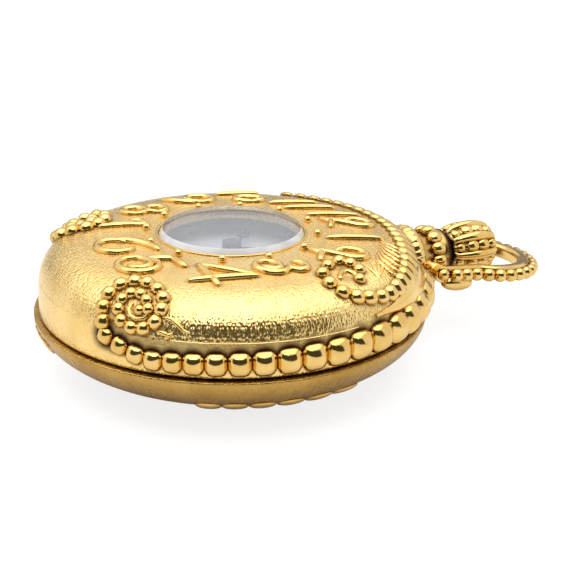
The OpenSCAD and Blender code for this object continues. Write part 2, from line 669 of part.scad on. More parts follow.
module balance_cock() {
    color("#CDB97F") bridge_body(cock_pillars) cock_2d();
}
module bridge_screws() {
    color("#5A6C9A") for (a = concat(barrel_pillars, train_pillars, cock_pillars)) rotate([0, 0, a])
        translate([pillar_ring_r, 0, bridge_z]) difference() {
            union() {
                cylinder(h = 0.25, r = screw_head_r);
                cylinder(h = bridge_t + train_gap + 0.6, r = screw_r);
            }
            translate([-1, -0.08, -0.1]) cube([2, 0.16, 0.2]);
        }
}
module case_screws() {
    color("#5A6C9A") for (a = case_screw_rows) rotate([0, 0, a])
        translate([case_screw_ring_r, 0, plate_z - 0.3]) difference() {
            union() {
                cylinder(h = 0.3, r = screw_head_r);
                cylinder(h = plate_t + 0.8, r = screw_r);
            }
            translate([-1, -0.08, -0.1]) cube([2, 0.16, 0.2]);
        }
}
module jewels() {
    color("#B8324A") for (p = jewel_spots) translate([p[0], p[1], 0]) {
        tube(jewel_hole_r, jewel_r - 0.02, bridge_z, bridge_top_z);
        tube(jewel_hole_r, jewel_r - 0.02, plate_z, plate_z + 0.6);
    }
}

// Winding work
module pendant_sleeve() {
    color("#C8AE74") translate([0, 0, stem_z]) difference() {
        rod(sleeve_y0, sleeve_y1, sleeve_r);
        rod(sleeve_y0 - 1, sleeve_y1 + 1, sleeve_in_r);
    }
}
module detent_ring() {
    color("#8E9AA8") translate([0, 0, stem_z]) difference() {
        rod(sleeve_y0 + 1, sleeve_y0 + 2, sleeve_in_r - run_fit);
        rod(sleeve_y0, sleeve_y0 + 3, stem_r + pass_gap);
    }
}
module winding_stem() {
    color("#8E9AA8") translate([0, 0, stem_z]) rod(crown_wheel_at[1] + 0.8, crown_y + 1.5, stem_r);
}
// The crown is an onion: an arc whose centre lies past the axis, with ribs along it
function crown_width(y) = sqrt(pow(crown_arc_r, 2) - pow(y - crown_mid_y, 2)) - crown_off;
crown_n = 10;
module crown() {
    color("#D8B46A") translate([0, 0, stem_z]) difference() {
        union() {
            rotate([-90, 0, 0]) rotate_extrude() polygon(concat([[0, crown_y]],
                [for (i = [0:crown_n]) let (y = crown_y + crown_len * i / crown_n) [crown_width(y), y]],
                [[0, crown_y + crown_len]]));
            for (i = [0:rib_count - 1]) crown_rib(360 / rib_count * i);
        }
        rod(crown_y - 1, crown_y + 1.5, stem_r);
    }
}
// One rib follows the arc of the crown between its two ends
module crown_rib(turn) {
    half = asin((crown_len / 2 - 0.35) / crown_arc_r);
    rotate([0, turn, 0]) translate([-crown_off, crown_mid_y, 0]) rotate([0, 0, -half])
        rotate_extrude(angle = 2 * half) translate([crown_arc_r, 0]) circle(r = rib_r);
}
module crown_beads() {
    span = crown_len / 2 - 0.75;
    color("#E2C078") translate([0, 0, stem_z])
        for (i = [0:rib_count - 1]) for (k = [0:rib_beads - 1])
            let (y = crown_mid_y - span + 2 * span * k / (rib_beads - 1))
                rotate([0, 360 / rib_count * (i + 0.5), 0]) translate([crown_width(y), y, 0])
                    sphere(r = rib_r * (k == 0 || k == rib_beads - 1 ? 0.8 : 1.05));
}
module winding_pinion() {
    color("#8E9AA8") translate([0, pinion_y, stem_z]) rotate([-90, 0, 0]) linear_extrude(pinion_len)
        difference() {
            polygon([for (i = [0:23]) polar(i % 2 == 0 ? pinion_r : pinion_r - 0.25, 15 * i)]);
            circle(r = stem_r + run_fit);
        }
}
module crown_wheel() {
    color("#A8ACB4") translate([crown_wheel_at[0], crown_wheel_at[1], bridge_top_z]) {
        turn = atan2(barrel_at[1] - crown_wheel_at[1], barrel_at[0] - crown_wheel_at[0]);
        translate([0, 0, ratchet_lvl[0]]) rotate([0, 0, turn + 180 / crown_wheel_teeth])
            linear_extrude(ratchet_lvl[1]) gear_2d(crown_wheel_teeth, keyless_mod);
        arbor(-bridge_t, ratchet_lvl[0], thick_arbor_r);
    }
}
module ratchet_wheel() {
    color("#A8ACB4") translate([barrel_at[0], barrel_at[1], bridge_top_z]) {
        turn = atan2(crown_wheel_at[1] - barrel_at[1], crown_wheel_at[0] - barrel_at[0]);
        translate([0, 0, ratchet_lvl[0]]) rotate([0, 0, turn]) linear_extrude(ratchet_lvl[1])
            gear_2d(ratchet_teeth, keyless_mod);
        arbor(-bridge_t, plate_top_z - bridge_top_z, thick_arbor_r);
        arbor(barrel_lvl[0] + 0.15, barrel_lvl[0] + barrel_lvl[1] - 0.15, 0.9);
    }
}
// The drum turns round its arbor and holds the mainspring
drum_r = barrel_teeth * barrel_mod / 2 - 0.3;
drum_low = bridge_top_z + barrel_lvl[0];
module mainspring_barrel() {
    color("#D2B25E") translate([barrel_at[0], barrel_at[1], drum_low]) difference() {
        linear_extrude(barrel_lvl[1]) difference() {
            rotate(barrel_dir + 180 + 180 / barrel_teeth) gear_2d(barrel_teeth, barrel_mod);
            circle(r = thick_arbor_r + run_fit, $fn = 12);
        }
        tube(0.4, drum_r - 0.35, 0.12, barrel_lvl[1] - 0.12);
    }
}
spring_turns = 8;
module mainspring() {
    r0 = 1.2;
    r1 = drum_r - 0.6;
    n = spring_turns * 18;
    color("#7A8896") translate([barrel_at[0], barrel_at[1], drum_low + 0.2])
        linear_extrude(barrel_lvl[1] - 0.4) polygon(concat(
            [for (i = [0:n]) polar(r0 + (r1 - r0) * i / n, 20 * i)],
            [for (i = [n:-1:0]) polar(r0 + 0.1 + (r1 - r0) * i / n, 20 * i)]));
}
click_row = 150;
click_reach = 5.2;
module click() {
    color("#A8ACB4") translate([barrel_at[0], barrel_at[1], bridge_top_z]) rotate([0, 0, click_row]) {
        translate([click_reach, 0, ratchet_lvl[0]]) linear_extrude(ratchet_lvl[1])
            polygon([[0.4, -0.5], [0.5, 0.4], [-0.3, 0.8], [-1.1, 1.5], [-1.2, 1.3], [-0.5, -0.2]]);
        translate([click_reach, 0, 0]) arbor(-bridge_t, ratchet_lvl[0], click_arbor_r);
    }
}
module click_spring() {
    color("#8E9AA8") translate([barrel_at[0], barrel_at[1], bridge_top_z]) rotate([0, 0, click_row])
        linear_extrude(0.3) polygon([[4.6, 1.6], [4.9, 1.6], [4.75, 2.9], [4.1, 3.9], [3.9, 3.8],
            [4.5, 2.8]]);
}

// Going train and escapement
module centre_wheel() {
    color("#D2B25E") translate([0, 0, bridge_top_z]) {
        translate([0, 0, centre_lvl[0]]) linear_extrude(centre_lvl[1]) rotate(third_dir)
            wheel_2d(centre_teeth, centre_mod, arbor_r - 0.05, 5);
        translate([0, 0, barrel_lvl[0] - 0.05]) rotate([0, 0, barrel_dir]) linear_extrude(1)
            gear_2d(centre_pinion_teeth, barrel_mod);
        arbor(-bridge_t, 0, pivot_r);
        arbor(0, dial_z - bridge_top_z - 0.1, arbor_r);
    }
}
module train_arbor(top_pivot) {
    arbor(-bridge_t, 0, pivot_r);
    arbor(0, train_gap, arbor_r);
    arbor(train_gap, train_gap + top_pivot, pivot_r);
}
module third_wheel() {
    color("#D2B25E") translate([third_at[0], third_at[1], bridge_top_z]) {
        translate([0, 0, third_lvl[0]]) linear_extrude(third_lvl[1]) rotate(fourth_dir)
            wheel_2d(third_teeth, third_mod, arbor_r - 0.05, 5);
        translate([0, 0, centre_lvl[0] - 0.1]) rotate([0, 0, third_dir + 180 + 180 / third_pinion_teeth])
            linear_extrude(0.4) gear_2d(third_pinion_teeth, centre_mod);
        train_arbor(0.6);
    }
}
module fourth_wheel() {
    color("#D2B25E") translate([fourth_at[0], fourth_at[1], bridge_top_z]) {
        translate([0, 0, fourth_lvl[0]]) linear_extrude(fourth_lvl[1]) rotate(escape_dir)
            wheel_2d(fourth_teeth, fourth_mod, arbor_r - 0.05, 5);
        translate([0, 0, third_lvl[0] - 0.1]) rotate([0, 0, fourth_dir + 180 + 180 / fourth_pinion_teeth])
            linear_extrude(0.4) gear_2d(fourth_pinion_teeth, third_mod);
        train_arbor(0.6);
    }
}
module escape_wheel() {
    step = 360 / escape_teeth;
    color("#B9BCC2") translate([escape_at[0], escape_at[1], bridge_top_z]) {
        translate([0, 0, escape_lvl[0]]) linear_extrude(escape_lvl[1]) difference() {
            polygon([for (i = [0:escape_teeth - 1]) for (p = [[0, escape_r], [0.12, escape_r],
                [0.3, escape_r - 0.5], [0.9, escape_r - 0.5]]) polar(p[1], step * (i + p[0]))]);
            for (i = [0:4]) rotate(72 * i) spoke_gap(0.45, escape_r - 0.8, 36);
        }
        translate([0, 0, fourth_lvl[0] - 0.1]) rotate([0, 0, escape_dir + 180 + 180 / escape_pinion_teeth])
            linear_extrude(0.35) gear_2d(escape_pinion_teeth, fourth_mod);
        train_arbor(0.6);
    }
}
// The fork runs from its arbor towards the balance and has two arms that hold the pallets
module pallet_fork() {
    pallet_r = 1.5;
    color("#B9BCC2") translate([pallet_at[0], pallet_at[1], bridge_top_z]) {
        translate([0, 0, escape_lvl[0]]) linear_extrude(escape_lvl[1]) union() {
            circle(r = 0.35, $fn = 12);
            rotate(balance_dir) polygon([[0, -0.12], [2, -0.1], [2.25, -0.3], [2.6, -0.26], [2.5, -0.12],
                [2.3, -0.08], [2.3, 0.08], [2.5, 0.12], [2.6, 0.26], [2.25, 0.3], [2, 0.1], [0, 0.12]]);
            for (s = [-1, 1]) rotate(pallet_dir + 180 + s * 68)
                polygon([[0, -0.12], [pallet_r, -0.1], [pallet_r, 0.1], [0, 0.12]]);
        }
        arbor(escape_lvl[0] - 0.15, train_gap, 0.12);
        arbor(train_gap, train_gap + 0.6, pivot_r);
    }
}
module balance_wheel() {
    color("#D2B25E") translate([balance_at[0], balance_at[1], bridge_top_z]) {
        translate([0, 0, balance_lvl[0]]) {
            tube(balance_r - 0.4, balance_r, 0, balance_lvl[1]);
            translate([0, 0, 0.1]) linear_extrude(0.2) rotate(30)
                translate([-balance_r + 0.2, -0.15]) square([2 * balance_r - 0.4, 0.3]);
        }
        arbor(-bridge_t, -0.05, pivot_r);
        arbor(-0.05, train_gap, 0.18);
        arbor(escape_lvl[0] - 0.05, escape_lvl[0] + 0.2, 0.5);
        arbor(train_gap, train_gap + 0.6, pivot_r);
    }
}
module hairspring() {
    turns = 7;
    n = turns * 18;
    r0 = 0.35;
    r1 = 1.65;
    spring_h = 0.1;
    lift = 0.04;
    color("#5A6C9A") translate([balance_at[0], balance_at[1], bridge_top_z + lift]) {
        linear_extrude(spring_h) polygon(concat(
            [for (i = [0:n]) polar(r0 + (r1 - r0) * i / n, 20 * i)],
            [for (i = [n:-1:0]) polar(r0 + 0.06 + (r1 - r0) * i / n, 20 * i)]));
        translate([r1 - 0.1, -0.15, -lift]) cube([0.3, 0.3, lift + spring_h]);
    }
}

// Motion work and hands, drawn at about five past ten
hour_row = 142;
minute_row = 60;
module hand_2d(len, blob_at, blob_r, root_r) {
    difference() {
        union() {
            circle(r = root_r);
            translate([0, -0.16]) square([blob_at, 0.32]);
            translate([blob_at, 0]) circle(r = blob_r);
            polygon([[blob_at, -0.2], [len, -0.04], [len, 0.04], [blob_at, 0.2]]);
        }
        translate([blob_at, 0]) circle(r = blob_r - 0.22);
    }
}
module minute_hand() {
    color("#6E707E") difference() {
        union() {
            translate([0, 0, plate_top_z + 0.05]) rotate([0, 0, motion_dir]) linear_extrude(0.3)
                gear_2d(cannon_teeth, minute_mod);
            translate([0, 0, plate_top_z + 0.05]) cylinder(h = minute_hand_z - plate_top_z, r = 0.5);
            translate([0, 0, minute_hand_z]) linear_extrude(hand_t) rotate(minute_row)
                hand_2d(minute_len, minute_len * 0.78, 0.6, hub_r);
            translate([0, 0, minute_hand_z]) cylinder(h = hub_top_z - minute_hand_z, r = hub_r);
        }
        translate([0, 0, plate_top_z - 1]) cylinder(h = dial_z - plate_top_z + 1, r = arbor_r + run_fit);
    }
}
module minute_wheel() {
    color("#D2B25E") translate([motion_at[0], motion_at[1], plate_top_z]) {
        translate([0, 0, 0.1]) linear_extrude(0.2) rotate(motion_dir + 180 + 180 / minute_teeth)
            difference() {
                gear_2d(minute_teeth, minute_mod);
                circle(r = 0.33);
            }
        translate([0, 0, 0.3]) linear_extrude(0.45) rotate(motion_dir + 180 + 180 / minute_pinion_teeth)
            difference() {
                gear_2d(minute_pinion_teeth, hour_mod);
                circle(r = 0.33);
            }
    }
}
module hour_hand() {
    color("#6E707E") difference() {
        union() {
            translate([0, 0, plate_top_z + 0.5]) linear_extrude(0.2) rotate(motion_dir)
                gear_2d(hour_teeth, hour_mod);
            translate([0, 0, plate_top_z + 0.5])
                cylinder(h = hour_hand_z - plate_top_z - 0.5 + hand_t, r = 0.8);
            translate([0, 0, hour_hand_z]) linear_extrude(hand_t) rotate(hour_row)
                hand_2d(hour_len, hour_len * 0.8, 0.6, hub_r + 0.1);
        }
        translate([0, 0, plate_top_z]) cylinder(h = 5, r = 0.5 + run_fit);
    }
}

// The lid and what it carries
lid_n = 18;
module lid_shell() {
    in_low = lid_low_z - seam_z;
    seat_r = window_r + seat_w;
    function wall_pts(r, h, low, high_r) = let (u0 = 0.02)
        [for (i = [0:lid_n]) let (p = lid_pt(u0 + (0.9 - u0) * i / lid_n, r, h))
            if (p[1] > low + 0.2 && p[0] > high_r + 0.3) p];
    outer = wall_pts(lid_r, lid_h, in_low, seat_r);
    inner = wall_pts(lid_in_r, lid_in_h, in_low, window_r);
    color("#D8B46A") difference() {
        translate([0, 0, seam_z]) rotate_extrude() polygon(concat([[lid_in_r, in_low], [lid_r, in_low]],
            outer, [[seat_r, lid_h], [seat_r, lid_h - seat_depth], [window_r, lid_h - seat_depth],
                    [window_r, lid_in_h]],
            [for (i = [len(inner) - 1:-1:0]) inner[i]]));
        translate([0, 0, stem_z]) rod(lip_in_r - 0.6, lid_r + 1, neck_r + 0.3);
        translate([-neck_r - 0.3, lip_in_r - 0.6, seam_z]) cube([2 * neck_r + 0.6, 4, stem_rise]);
        catch_recess();
    }
}
module catch_recess() {
    translate([lid_in_r - 0.6, -catch_w / 2 - 0.2, catch_z - 0.15]) cube([0.9, catch_w + 0.4, catch_t + 0.3]);
}
module lid_hinge_barrels() {
    color("#D8B46A") knuckles([1, 3], lid_low_z + 0.05, -lid_in_r - 0.25);
}
module lid_crystal() {
    r = window_r + seat_w - seat_fit;
    top_r = r - crystal_bevel_w;
    side_z = lid_top_z + crystal_side;
    top_z = side_z + crystal_bevel_h;
    seat_z = lid_top_z - seat_depth;
    in_r = window_r - 0.1;
    function dome(x, r0, rise) = let (br = (pow(r0, 2) + pow(rise, 2)) / (2 * rise))
        sqrt(pow(br, 2) - pow(x, 2)) - br + rise;
    color("#C8D0D880") rotate_extrude() polygon(concat([[in_r, seat_z], [r, seat_z], [r, side_z]],
        [for (i = [6:-1:0]) [top_r * i / 6, top_z + dome(top_r * i / 6, top_r, crystal_dome)]],
        [for (i = [0:6]) [top_r * i / 6, top_z - crystal_t + dome(top_r * i / 6, top_r, crystal_dome)]]));
}
module crystal_bezel() {
    r0 = window_r + seat_w + seat_fit;
    color("#E2C078") translate([0, 0, lid_top_z - 0.03]) rotate_extrude() polygon([[r0, 0],
        [r0 + bezel_w, 0], [r0 + bezel_w, 0.15], [r0 + bezel_w * 0.7, 0.25], [r0, 0.25]]);
}
module beads(spots) {
    for (p = spots) translate([p[0], p[1], p[2]]) sphere(d = p[3]);
}
module lid_rope_front() {
    color("#DDBB70") {
        beads(bead_spots(front_line, bead_d * bead_room, 0));
        // The head's middle bead
        beads([concat(on_lid(front_head[0], front_head[1]), bead_d)]);
        difference() {
            rim_run();
            translate([0, 0, seam_z]) cylinder(h = lid_h / 2, r = lid_in_r + 0.1);
            catch_recess();
        }
    }
}
// The run sits on the rim just above the seam, and its beads grow to the right
module rim_run() {
    for (i = [0:rim_beads]) {
        way = front_pitch * i + rim_grow * i * (i - 1) / 2;
        d = (front_pitch + rim_grow * (i - 0.5)) / bead_room;
        up = seam_gap + d / 2 + rim_climb * pow(max(0, 1 - i / rim_climb_n), 1.5);
        rotate([0, 0, rim_start_row + way / lid_r * 180 / PI])
            translate([lid_width(up) - 0.05, 0, seam_z + up + 0.05]) sphere(d = d);
    }
}
module lid_rope_side() {
    color("#DDBB70") {
        beads(bead_spots(side_line, bead_d * bead_room, 0.018));
        beads([concat(on_lid(side_head[0], side_head[1]), bead_d)]);
    }
}
module lid_rope_back() {
    color("#DDBB70") {
        beads(bead_spots(back_line, bead_d * bead_room, 0.018));
        beads([concat(on_lid(back_head[0], back_head[1]), bead_d)]);
    }
}
module hour_numerals() {
    color("#E6C67E") for (d = digits) for (s = d[0])
        lid_wire([for (p = s) [d[1], d[2]] + lean(p) * digit_h * d[3]], wire_d / 2);
}
module hour_dots() {
    color("#E6C67E") for (i = [0:11]) rotate([0, 0, 30 * i])
        translate([dot_ring_r, 0, seam_z + lid_rise(dot_ring_r) + dot_d * 0.2]) sphere(d = dot_d);
}
// A polished lip lies between the side rope and the front rope
module lid_lip() {
    lip_up = 3.6;
    color("#E6C67E") translate([0, 0, seam_z + lip_up]) rotate([0, 0, 19]) rotate_extrude(angle = 46)
        translate([lid_width(lip_up) - 0.1, 0]) circle(r = 0.35);
}

// The bow, drawn level about its pins and then let down
module hang() {
    translate([0, bow_y, bow_z]) rotate([-bow_droop, 0, 0]) children();
}
module bow() {
    color("#D8B46A") hang() {
        translate([0, bow_reach, -bow_band_t / 2]) rotate([0, 0, -90 + bow_open])
            rotate_extrude(angle = 360 - 2 * bow_open) translate([bow_inner_r, 0])
                square([bow_band_w, bow_band_t]);
        for (s = [0, 1]) mirror([s, 0, 0]) difference() {
            union() {
                translate([ear_x - ear_t / 2, 0, -bow_band_t / 2]) cube([ear_t, bow_leg_y + 0.3, bow_band_t]);
                cross_rod(ear_x - ear_t / 2, ear_x + ear_t / 2, ear_r);
            }
            cross_rod(ear_x - 1, ear_x + 1, bow_pin_r + run_fit);
        }
        for (s = [0, 1]) mirror([s, 0, 0]) translate([ear_x + 0.25, 0, -swell_r - 0.15]) {
            rod(swell_y[0], swell_y[1], swell_r);
            for (y = swell_y) translate([0, y, 0]) sphere(r = swell_r);
        }
    }
}
module bow_beads() {
    a0 = -90 + bow_open + 8;
    span = 360 - 2 * bow_open - 16;
    color("#E2C078") hang() {
        for (i = [0:bow_beads_n - 1])
            translate([0, bow_reach, 0]) rotate([0, 0, a0 + span * i / (bow_beads_n - 1)])
                translate([bow_bead_ring_r, 0, 0]) sphere(d = bow_bead_d);
        for (s = [-1, 1]) for (y = leg_bead_y)
            translate([s * (ear_x + ear_t / 2 + bow_bead_sink), y, 0]) sphere(d = bow_bead_d);
    }
}

// The catch is drawn back, clear of the lid
module lid_catch() {
    color("#8E9AA8") translate([catch_tip_x - catch_len, -catch_w / 2, catch_z]) difference() {
        cube([catch_len, catch_w, catch_t]);
        translate([catch_len, -1, 0.3]) rotate([0, -45, 0]) cube([1, 4, 1]);
    }
}

back_shell();
back_rope_front();
back_rope_left();
pendant_neck();
neck_granules();
bow_pins();
case_hinge_barrels();
hinge_pin();
catch_spring();
movement_ring();
dust_cover();
inner_bezel();
dial_crystal();
dial();
dial_markers();
main_plate();
barrel_bridge();
train_bridge();
balance_cock();
bridge_screws();
case_screws();
jewels();
click_spring();
hairspring();
lid_shell();
lid_hinge_barrels();
lid_crystal();
crystal_bezel();
lid_rope_front();
lid_rope_side();
lid_rope_back();
hour_numerals();
hour_dots();
lid_lip();
bow();
bow_beads();
pendant_sleeve();
detent_ring();
crown();
crown_beads();
winding_stem();
winding_pinion();
crown_wheel();
ratchet_wheel();
mainspring_barrel();
mainspring();
centre_wheel();
third_wheel();
fourth_wheel();
escape_wheel();
pallet_fork();
balance_wheel();
click();
minute_hand();
minute_wheel();
hour_hand();
lid_catch();
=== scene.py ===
"""A half hunter pocket watch lying on a white table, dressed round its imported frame."""
import json
import math

import bmesh
import bpy
import numpy as np
from mathutils import Matrix, Vector


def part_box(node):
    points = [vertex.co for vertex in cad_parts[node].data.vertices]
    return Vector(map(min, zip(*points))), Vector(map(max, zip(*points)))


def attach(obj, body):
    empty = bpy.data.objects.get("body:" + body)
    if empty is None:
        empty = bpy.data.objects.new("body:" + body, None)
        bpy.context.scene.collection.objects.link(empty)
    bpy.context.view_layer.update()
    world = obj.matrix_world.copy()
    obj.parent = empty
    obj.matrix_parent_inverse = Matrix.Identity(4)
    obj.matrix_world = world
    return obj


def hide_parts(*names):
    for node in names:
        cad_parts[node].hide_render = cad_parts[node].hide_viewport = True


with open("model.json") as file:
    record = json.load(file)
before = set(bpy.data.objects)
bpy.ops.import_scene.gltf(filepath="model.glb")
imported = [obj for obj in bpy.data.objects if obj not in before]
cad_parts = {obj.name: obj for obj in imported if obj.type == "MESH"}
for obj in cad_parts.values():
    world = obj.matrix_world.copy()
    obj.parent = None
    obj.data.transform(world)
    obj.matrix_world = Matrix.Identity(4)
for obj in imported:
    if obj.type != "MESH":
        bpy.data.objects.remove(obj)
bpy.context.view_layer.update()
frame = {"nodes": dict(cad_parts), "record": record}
record = frame["record"]
SLOT_OF = {part["node"]: part["material_slot"] for part in record["subparts"]}
BODY_OF = {node: body for body, nodes in record["behaviour"]["bodies"].items() for node in nodes}
MM = 0.001


def corners(node):
    """Lowest and highest corner of a CAD node, in millimetres."""
    return [np.array(corner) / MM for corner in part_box(node)]


# Sizes in millimetres, read from the frame where it holds them
lid_low, lid_high = corners("lid_shell")
_, back_high = corners("back_shell")
neck_low, neck_high = corners("pendant_neck")
crown_low, crown_high = corners("crown")
LID_R = lid_high[0]
SEAM_GAP = 0.4
SEAM_Z = lid_low[2] - SEAM_GAP
LID_H = lid_high[2] - SEAM_Z
LID_WALL = 0.65
LID_IN_R = LID_R - LID_WALL
LID_IN_H = LID_H - LID_WALL - 0.05
SQUARE_R = 5.8
SQUARE_Z = 4.1
WINDOW_R = 6.1
SEAT_R = 6.6
SEAT_DEPTH = 0.35
BACK_R = back_high[0]
BACK_DEPTH = 6.3
BACK_WALL = 0.8
LIP_R = LID_IN_R - 0.1
LIP_IN_R = LIP_R - 0.55
LIP_TOP = back_high[2]
SHELF_Z = SEAM_Z - 1.1
SHELF_IN_R = LIP_IN_R - 1.3
SHELF_T = 0.7
STEM_Z = SEAM_Z + 1.4
NECK_R = 3.0
BOW_Y = 20.3
BOW_Z = STEM_Z - 0.5
# Height over the seam of the scribed line on the lid
SCRIBE_UP = 3.12
# Edges over this angle in degrees are left sharp
SHARP = 40
# A skin with a pole at either end
CLOSED = (True, True)


# Meshes
def skin(points, around=True, along=False, poles=(False, False)):
    """Faces over a grid of rings of points: round each ring if around, last ring to first if along, and a
    fan to the ring's middle at either end that has a pole."""
    rings, count = points.shape[:2]
    index = np.arange(rings * count).reshape(rings, count)
    if around:
        index = np.concatenate([index, index[:, :1]], 1)
    if along:
        index = np.concatenate([index, index[:1]], 0)
    quads = np.stack([index[:-1, :-1], index[:-1, 1:], index[1:, 1:], index[1:, :-1]], -1).reshape(-1, 4)
    verts = points.reshape(-1, 3)
    fans = []
    for end, closed in zip((0, rings - 1), poles):
        if closed:
            ring = end * count + np.arange(count)
            fans.append(np.stack([ring, np.roll(ring, -1), np.full(count, len(verts))], -1))
            verts = np.concatenate([verts, points[end].mean(0)[None]])
    return verts, quads, np.concatenate(fans) if fans else np.zeros((0, 3), int)


def join(parts):
    """One mesh of several, each given as points, four-sided faces and triangles."""
    starts = np.cumsum([0] + [len(part[0]) for part in parts])
    verts = np.concatenate([part[0] for part in parts])
    quads = np.concatenate([part[1] + start for part, start in zip(parts, starts)])
    tris = np.concatenate([part[2] + start for part, start in zip(parts, starts)])
    return verts, quads, tris


def new_object(name, data):
    """An object of the data, in the scene."""
    made = bpy.data.objects.new(name, data)
    bpy.context.scene.collection.objects.link(made)
    return made


def mesh_object(name, part, sharp=SHARP, merge=False):
    """An object at the origin with its place in its mesh: points that meet are made one if merge is set,
    faces look outwards, and all is smooth but for edges over sharp degrees."""
    verts, quads, tris = part
    mesh = bpy.data.meshes.new(name)
    mesh.from_pydata((verts * MM).tolist(), [], quads.tolist() + tris.tolist())
    work = bmesh.new()
    work.from_mesh(mesh)
    if merge:
        bmesh.ops.remove_doubles(work, verts=work.verts, dist=0.001 * MM)
    bmesh.ops.recalc_face_normals(work, faces=work.faces)
    work.to_mesh(mesh)
    work.free()
    mesh.shade_smooth()
    mesh.set_sharp_from_angle(angle=math.radians(sharp))
    return new_object(name, mesh)


def dress(made, node, replaced=(), finish=None):
    """The piece moves, and is finished, as the CAD node that it stands for or lies on."""
    made.data.materials.clear()
    made.data.materials.append(FINISHES[finish or SLOT_OF[node]])
    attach(made, BODY_OF[node])
    if replaced:
        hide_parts(*replaced)
    return made


def piece(name, parts, node, replaced=(), finish=None, sharp=SHARP):
    """A new piece made of parts."""
    return dress(mesh_object(name, join(parts), sharp), node, replaced, finish)


def cut(made, cutter):
    """The cutter's shape is taken out of the piece, and the cutter goes."""
    tool = made.modifiers.new("cut", "BOOLEAN")
    tool.operation = "DIFFERENCE"
    tool.solver = "EXACT"
    tool.object = cutter
    graph = bpy.context.evaluated_depsgraph_get()
    new = bpy.data.meshes.new_from_object(made.evaluated_get(graph))
    made.modifiers.clear()
    old = made.data
    made.data = new
    bpy.data.meshes.remove(old)
    bpy.data.objects.remove(cutter)
    made.data.set_sharp_from_angle(angle=math.radians(SHARP))
    return made


def points_of(made):
    """The piece's points in millimetres."""
    flat = np.zeros(len(made.data.vertices) * 3, np.float32)
    made.data.vertices.foreach_get("co", flat)
    return flat.reshape(-1, 3).astype(float) / MM


def stain(made, values):
    """Keeps one value a point, 0 to 1, that the gold finishes read as dirt and as painted shade in the
    hollows.
    """
    layer = made.data.attributes.new("grime_and_shade", "FLOAT", "POINT")
    layer.data.foreach_set("value", np.clip(values, 0, 1).astype(np.float32))


def beads(name, node, parts, heights, start=0.3, fall=1.4, most=0.8):
    """Beads as one piece that stands for its node, with dirt and painted shade round the foot of each:
    start less fall times the height in the bead, kept between none and one, times most."""
    made = piece(name, parts, node, [node])
    stain(made, np.clip(start - heights * fall, 0, 1) * most)


# Shapes
def turn(radius, height, count, axis="z", centre=(0, 0, 0)):
    """Rings of a turned shape: a profile of radius against height, carried round an axis, as the points
    radius cos(angle), radius sin(angle) and height."""
    angle = np.linspace(0, 2 * np.pi, count, endpoint=False)
    radius = np.asarray(radius, float)
    if radius.ndim == 1:
        radius = np.repeat(radius[:, None], count, 1)
    a = radius * np.cos(angle)
    b = radius * np.sin(angle)
    h = np.repeat(np.asarray(height, float)[:, None], count, 1)
    order = {"z": (a, b, h), "y": (a, h, b), "x": (h, a, b)}[axis]
    return np.stack(order, -1) + np.asarray(centre, float)


def rounded_box(width, height, corner, count=5):
    """Outline of a rectangle about its middle, its corners rounded by quarter circles."""
    out = []
    for i, (sx, sy) in enumerate([(1, 1), (-1, 1), (-1, -1), (1, -1)]):
        a = np.radians(np.linspace(90 * i, 90 * i + 90, count))
        out.append(np.stack([sx * (width / 2 - corner) + corner * np.cos(a),
                             sy * (height / 2 - corner) + corner * np.sin(a)], -1))
    return np.concatenate(out)


def unit(v):
    """Vectors of length one."""
    return v / np.linalg.norm(v, axis=-1, keepdims=True)


def rays(angle, axis="z"):
    """Ways out from an axis at angles in radians: round z from x towards y, or round y from x towards -z."""
    a, b = np.cos(angle), np.sin(angle)
    return np.stack({"z": (a, b, 0 * a), "y": (a, 0 * a, -b)}[axis], -1)


def sweep(path, out, outline):
    """Rings of an outline carried along a path, as path + u side + v up for each point (u, v) of the outline:
    side is the path's way times out, and up is side times the path's way."""
    ahead = unit(np.gradient(path, axis=0))
    side = unit(np.cross(ahead, out))
    up = np.cross(side, ahead)
    outline = np.asarray(outline, float)
    if outline.ndim == 2:
        outline = np.repeat(outline[None], len(path), 0)
    return path[:, None] + outline[..., :1] * side[:, None] + outline[..., 1:] * up[:, None]


def wire(path, out, radius, sides=12):
    """A round wire along a path: a circle of the radius at each point, with ends that close as half balls."""
    radius = np.broadcast_to(np.asarray(radius, float), (len(path),))
    a = np.radians([35, 60, 78, 88])
    first = path[0] + unit(path[0] - path[1]) * radius[0] * np.sin(a)[::-1, None]
    last = path[-1] + unit(path[-1] - path[-2]) * radius[-1] * np.sin(a)[:, None]
    full = np.concatenate([first, path, last])
    outs = np.concatenate([np.repeat(out[:1], 4, 0), out, np.repeat(out[-1:], 4, 0)])
    r = np.concatenate([radius[0] * np.cos(a)[::-1], radius, radius[-1] * np.cos(a)])
    ring = rays(np.radians(np.arange(sides) * 360 / sides))[:, :2]
    return skin(sweep(full, outs, r[:, None, None] * ring), poles=CLOSED)


